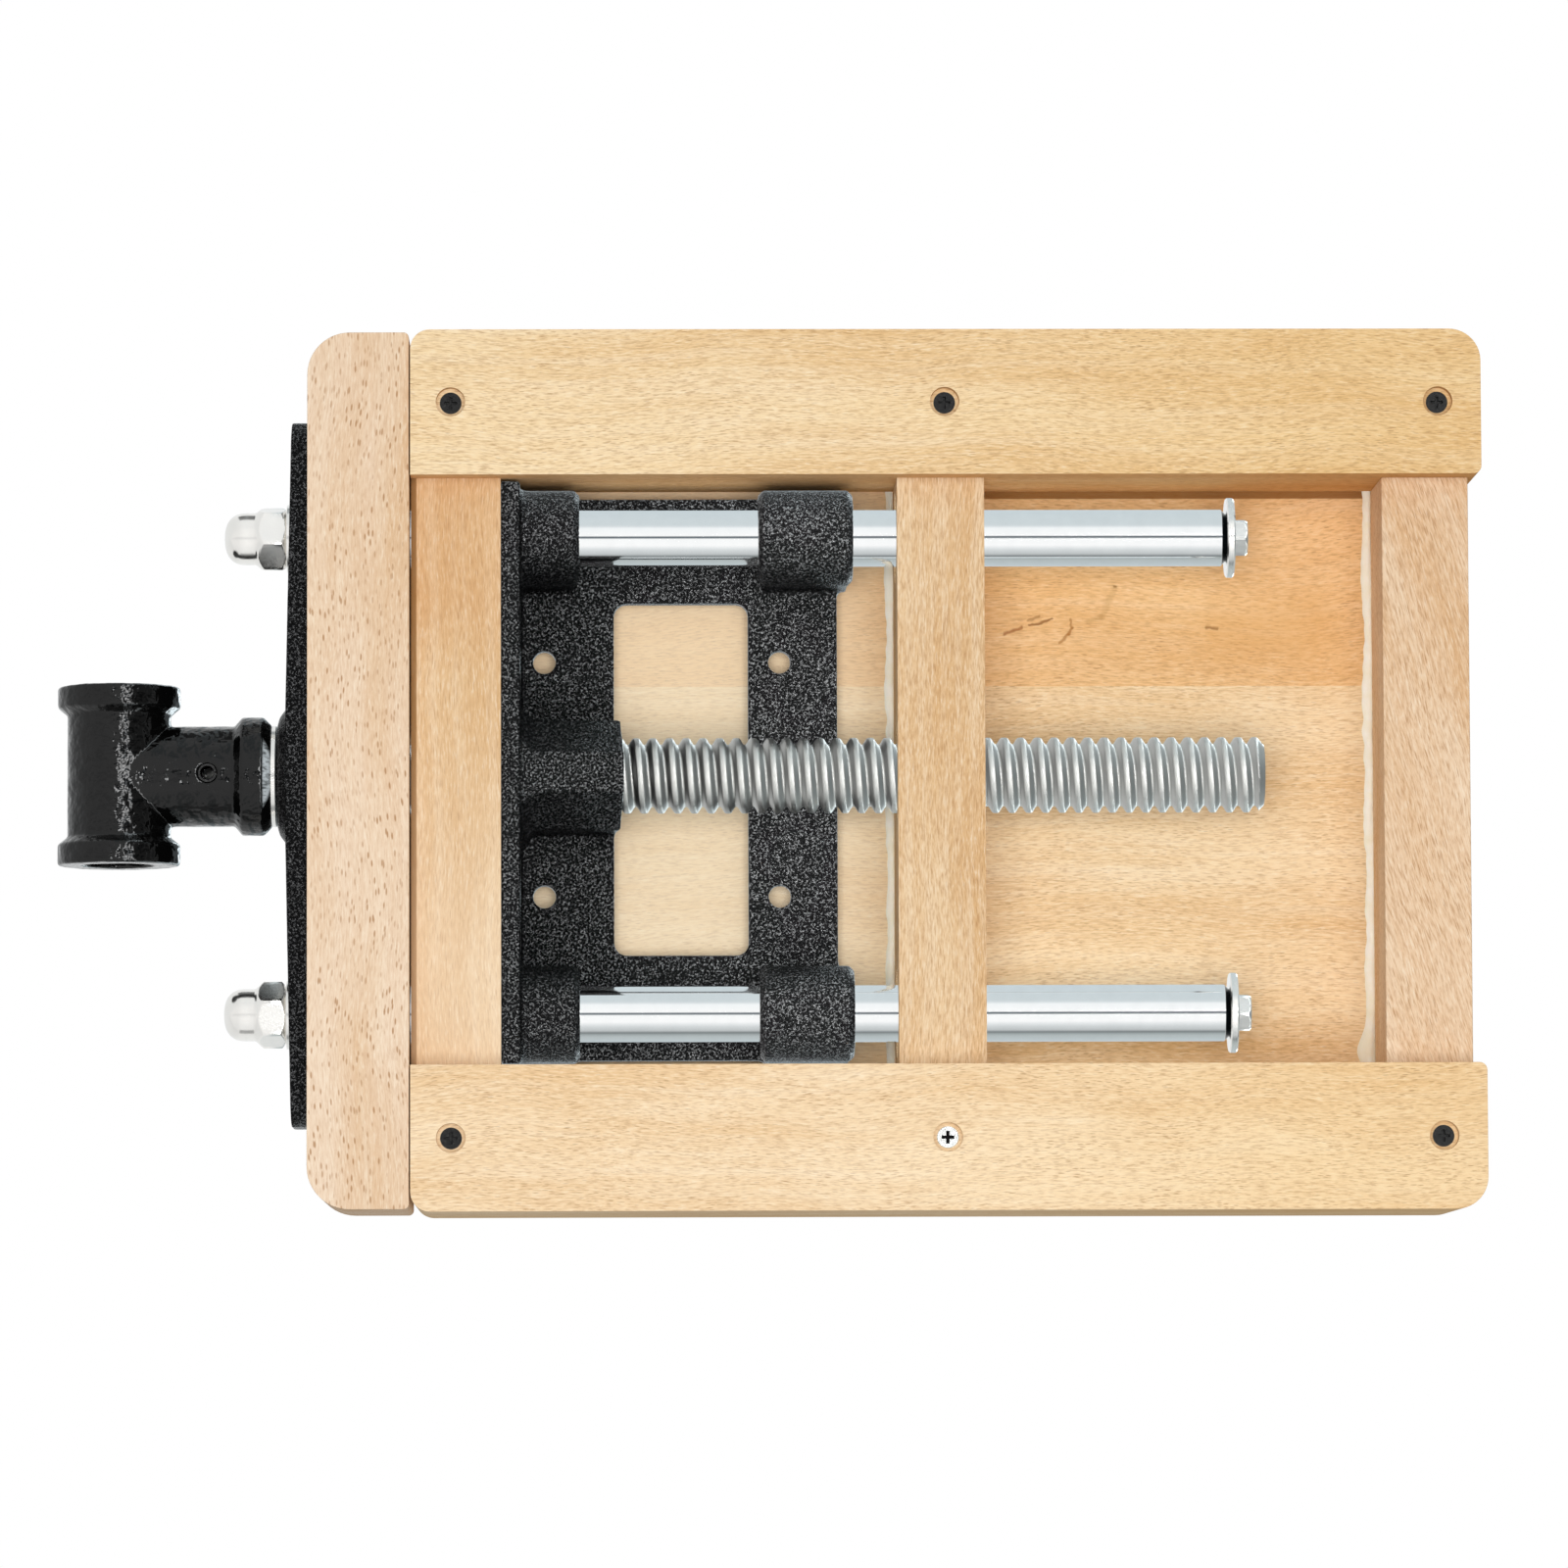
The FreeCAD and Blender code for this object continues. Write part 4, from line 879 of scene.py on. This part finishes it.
class VISE_OT_collar_washer_pin(bpy.types.Operator):
    """Finish the thrust washer, the collar with its pin and the rolled spring pin"""
    bl_idname = "vise.collar_washer_pin"
    bl_label = "Thrust washer, collar and pins"

    def execute(self, context):
        low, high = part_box("thrust_washer")
        rings("stamped_thrust_washer", "thrust_washer", 10.3 * MM,
              bpy.data.materials["bright_zinc_plate"], (0,), (low.z + high.z) / 2)
        for node in ("retaining_collar", "collar_pin"):
            own = frame["nodes"][node].data
            own.materials.clear()
            own.materials.append(bpy.data.materials["zinc_plated_thread"])
        low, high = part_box("tee_pin")
        pin = shown(copied("tee_pin"), "rolled_spring_pin", "screw", ["tee_pin"],
                    painted_shade_bore(phosphate("black_phosphate_pin"), (low + high) / 2))
        eased(pin, 0.15 * MM, 2)
        return {"FINISHED"}


class VISE_OT_wood_screws(bpy.types.Operator):
    """Finish the cross-head wood screws"""
    bl_idname = "vise.wood_screws"
    bl_label = "Wood screws"

    def execute(self, context):
        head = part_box("rail_screws")[0].z + 0.3 * MM
        black = phosphate("black_phosphate")
        zinc = plated_steel("bright_zinc_screw", linear("#D2D3D0"), 0.2, 0.3, (0.8, 0.8, 0.8))
        # Little light reaches the cross recess.
        darkened(zinc, 2, head, 0.3 * MM, "#101010")
        for node, material, slot in (("rail_screws", black, "black_screw"),
                                     ("bright_rail_screw", zinc, "zinc_steel"),
                                     ("bracket_screws", black, "black_screw"),
                                     ("jaw_screws", black, "black_screw")):
            piece = shown(copied(node), "cross_head_" + node, body_of(node), [node], material)
            eased(piece, 0.2 * MM, 2)
        return {"FINISHED"}


class VISE_OT_glue(bpy.types.Operator):
    """Lay the beads of glue that squeezed out beside the brace and the rear rail"""
    bl_idname = "vise.glue"
    bl_label = "Squeezed-out glue"

    def execute(self, context):
        bead, material = context.scene.vise.glue.bead, dried_glue()
        for name, node, swell, width in (
                ("glue_beside_brace", "middle_brace", 0.0, bead),
                ("glue_beside_rear_rail", "rear_cross_rail", 0.9, bead * 1.1)):
            shown(squeezed_bead(*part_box(node), swell, width), name, "base", [], material,
                  60)
        return {"FINISHED"}


def squeezed_bead(low, high, swell, width):
    """A bead along a cross member's front edge, whose width wavers and swells near one end."""
    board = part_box("top_board")[0].z
    bm = bmesh.new()
    bmesh.ops.create_cone(bm, cap_ends=True, segments=16, radius1=0.5, radius2=0.5, depth=1)
    bmesh.ops.rotate(bm, verts=bm.verts, matrix=Matrix.Rotation(math.pi / 2, 3, "X"))
    lengthwise = [edge for edge in bm.edges
                  if abs(edge.verts[0].co.y - edge.verts[1].co.y) > 0.5]
    bmesh.ops.subdivide_edges(bm, edges=lengthwise, cuts=260, use_grid_fill=True)
    for vert in bm.verts:
        y = vert.co.y * (high.y - low.y)
        # It wavers over 22 mm and over 5 mm, and slips sideways by half a millimetre.
        wide = width * (1 + 0.35 * noise.noise(Vector((y * 45, width * 900, 0)))
                        + 0.2 * noise.noise(Vector((y * 190, 3, 0)))
                        + swell * math.exp(-((y - 104 * MM) / (6 * MM)) ** 2))
        slip = 0.5 * MM * noise.noise(Vector((y * 60, 7, width * 1500)))
        middle = low.x - wide / 2 + 0.3 * MM + slip
        # Under the board's face, half of each round section sits in the wood.
        vert.co = Vector((middle + vert.co.x * wide, y + (low.y + high.y) / 2,
                          board - max(vert.co.z, 0) * wide * 0.55))
    bmesh.ops.remove_doubles(bm, verts=bm.verts, dist=JOINED)
    return bm


class VISE_OT_stage(bpy.types.Operator):
    """Set the floor, the soft lamps, the white world and the camera below the vise"""
    bl_idname = "vise.stage"
    bl_label = "Studio and camera"

    def execute(self, context):
        scene, stage = context.scene, context.scene.vise.stage
        scene.view_settings.view_transform = "Standard"
        floor_piece(stage)
        for name, place, turn, power in (
                ("lamp_below", (0.0, 0.25, -2.0), (math.pi, 0, 0), 31.0),
                ("lamp_above", (-0.5, -0.6, 2.0), (0.3, -0.22, 0), 15.0)):
            lamp = bpy.data.lights.new(name, "AREA")
            lamp.energy, lamp.size = power, 1.6
            holder = stood(lamp, name)
            holder.location, holder.rotation_euler = place, turn
            holder.visible_glossy = False
        white_world(scene)
        camera = bpy.data.cameras.new("camera_below")
        camera.sensor_width = 36.0
        camera.lens = camera.sensor_width * stage.distance / stage.frame_width
        camera.clip_start, camera.clip_end = 0.1, 20.0
        scene.camera = stood(camera, "camera_below")
        # The lens stands below the vise, a little toward the handle and the left rail.
        aim = Vector((0.0055, 0.006, 0.0))
        eye = Vector((-0.06, 0.259, -stage.distance))
        forward = (aim - eye).normalized()
        right = forward.cross(Vector((0.0035, -1, 0))).normalized()
        turn = Matrix((right, right.cross(forward), -forward)).transposed()
        scene.camera.matrix_world = Matrix.Translation(eye) @ turn.to_4x4()
        return {"FINISHED"}


def floor_piece(stage):
    """A pale floor under the vise that a camera below it looks through."""
    bm = bmesh.new()
    bmesh.ops.create_grid(bm, x_segments=1, y_segments=1, size=6.0)
    floor = stood(meshed(bm, "floor"), "floor")
    material, tree, shader = new_material("pale_studio_floor")
    fill(tree, shader, {"Base Color": stage.floor, "Roughness": 0.8, "Specular IOR Level": 0.1})
    either = add(tree, "MixShader", add(tree, "NewGeometry", out="Backfacing"), shader.outputs[0],
                 add(tree, "BsdfTransparent"))
    fill(tree, tree.nodes["Material Output"], {0: either})
    floor.data.materials.append(material)
    floor.visible_shadow = floor.visible_diffuse = floor.visible_glossy = False


def white_world(scene):
    """White to the camera, a pale studio to polished metal, and plain light to the rest."""
    world = bpy.data.worlds.new("white_studio")
    scene.world = world
    world.use_nodes = True
    tree = world.node_tree
    plain = tree.nodes["Background"]
    fill(tree, plain, {"Color": (1, 1, 1, 1), "Strength": 0.42})
    x, y, z = axes(tree, "Generated")
    # The angle round the bars, from straight down.
    down = add(tree, "Math", z, -1.0, operation="MULTIPLY")
    turn = add(tree, "Math", y, down, operation="ARCTAN2")
    studio = add(tree, "Background", studio_colour(tree, x, turn),
                 studio_level(tree, x, y, z, turn))
    white = add(tree, "Background", (1, 1, 1, 1), 1.0)
    path = add(tree, "LightPath").node.outputs
    shiny = add(tree, "Math", path["Is Glossy Ray"], path["Is Transmission Ray"],
                operation="MAXIMUM")
    lit = add(tree, "MixShader", shiny, plain.outputs[0], studio)
    seen = add(tree, "MixShader", path["Is Camera Ray"], lit, white)
    fill(tree, tree.nodes["World Output"], {0: seen})


def studio_colour(tree, along, turn):
    """Two soft white panels with a narrow gap between them, and pale grey beyond."""
    ramp = add(tree, "ValToRGB", add(tree, "MapRange", turn, -math.pi, math.pi))
    stops = ramp.node.color_ramp.elements
    marks = ((-180, "#C9D5DA"), (-54, "#D0D9DC"), (-46, "#D8DFE2"), (-36, "#F7FAFB"),
             (-5, "#FFFFFF"), (-1.5, "#6A7278"), (3, "#6A7278"), (8, "#FDFEFE"), (34, "#FFFFFF"),
             (47, "#E6E9EA"), (56, "#D6DADB"), (74, "#C0C4C5"), (83, "#858B8C"), (87, "#858B8C"),
             (96, "#A5ADAE"), (108, "#B6BEBF"), (180, "#C9D5DA"))
    while len(stops) < len(marks):
        stops.new(1.0)
    for stop, (angle, code) in zip(stops, marks):
        stop.position = (angle + 180) / 360
        stop.color = linear(code)
    # Toward the handle the studio is plainer and whiter.
    plainer = add(tree, "MapRange", along, -0.035, -0.025, 0.8, 0.0)
    return layered(tree, ramp, (plainer, "#FFFFFF"))


def studio_level(tree, along, across, up, turn):
    """How bright the studio is in each direction."""
    # Above the vise it is paler, so that the bars stay bright when they are seen from there.
    aside = add(tree, "Math", across, operation="ABSOLUTE")
    above = add(tree, "Math", add(tree, "MapRange", up, -0.5, -0.2),
                add(tree, "MapRange", aside, 0.15, 0.4, 0.5, 1.0), operation="MULTIPLY")
    # Toward the board's far end it is dark, beyond a narrow strip lamp.
    far = add(tree, "MapRange", along, 0.3, 0.55, 1.0,
              add(tree, "MapRange", above, 0.0, 1.0, 0.25, 1.0))
    level = add(tree, "Math", add(tree, "MapRange", along, -0.5, -0.1, 0.9, 1.0), far,
                band(tree, along, 0.25, 0.34, 0.04, 7.0), operation="MULTIPLY_ADD")
    # Thin lamps beside the bars, which the bosses mirror, and two dark cards that the cap nuts
    # mirror; the angles are degrees round the bars.
    beside = band(tree, along, 0.12, 0.24, 0.02)
    past = band(tree, along, -0.3, -0.035, 0.012)
    for low, high, place, height in ((-10.0, -5.0, beside, 13.0), (7.0, 12.0, beside, 13.0),
                                     (-122.0, -92.0, past, -0.8), (74.0, 92.0, past, -0.55)):
        part = band(tree, turn, math.radians(low), math.radians(high), math.radians(1.5), height)
        level = add(tree, "Math", part, place, level, operation="MULTIPLY_ADD")
    # Below the vise, the bars' sides see a darker studio toward the far end.
    steep = add(tree, "Math", turn, operation="ABSOLUTE")
    dim = add(tree, "Math",
              add(tree, "MapRange", steep, math.radians(40), math.radians(60), 0.0, 0.35),
              add(tree, "MapRange", along, 0.1, 0.16), operation="MULTIPLY")
    dim = add(tree, "Math", dim, add(tree, "MapRange", above, 0.0, 1.0, 1.0, 0.0),
              operation="MULTIPLY")
    left = add(tree, "Math", 1.0, dim, operation="SUBTRACT")
    return add(tree, "Math", level, left, operation="MULTIPLY")


# ---------------------------------------------------------------- panel and registration

PIECES = (VISE_OT_beech, VISE_OT_castings, VISE_OT_handle_tee, VISE_OT_lead_screw,
          VISE_OT_guide_rods, VISE_OT_cap_nuts, VISE_OT_stops, VISE_OT_collar_washer_pin,
          VISE_OT_wood_screws, VISE_OT_glue, VISE_OT_stage)


class VISE_PT_panel(bpy.types.Panel):
    """The vise's pieces and settings"""
    bl_label = "Vise"
    bl_idname = "VISE_PT_panel"
    bl_space_type = "VIEW_3D"
    bl_region_type = "UI"
    bl_category = "Vise"

    def draw(self, context):
        settings = context.scene.vise
        for title in ("beech", "iron", "steel", "glue", "stage"):
            box = self.layout.box()
            box.label(text=title.capitalize())
            group = getattr(settings, title)
            for name in group.__annotations__:
                box.prop(group, name)
        for piece in PIECES:
            self.layout.operator(piece.bl_idname)


CLASSES = (BeechSettings, IronSettings, SteelSettings, GlueSettings, StageSettings,
           ViseSettings) + PIECES + (VISE_PT_panel,)


def register():
    for each in CLASSES:
        bpy.utils.register_class(each)
    bpy.types.Scene.vise = PointerProperty(type=ViseSettings)


def unregister():
    del bpy.types.Scene.vise
    for each in reversed(CLASSES):
        bpy.utils.unregister_class(each)


def main():
    """Build every piece and the stage."""
    register()
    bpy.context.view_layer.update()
    for piece in PIECES:
        group, name = piece.bl_idname.split(".")
        getattr(getattr(bpy.ops, group), name)()


if __name__ == "__main__":
    main()
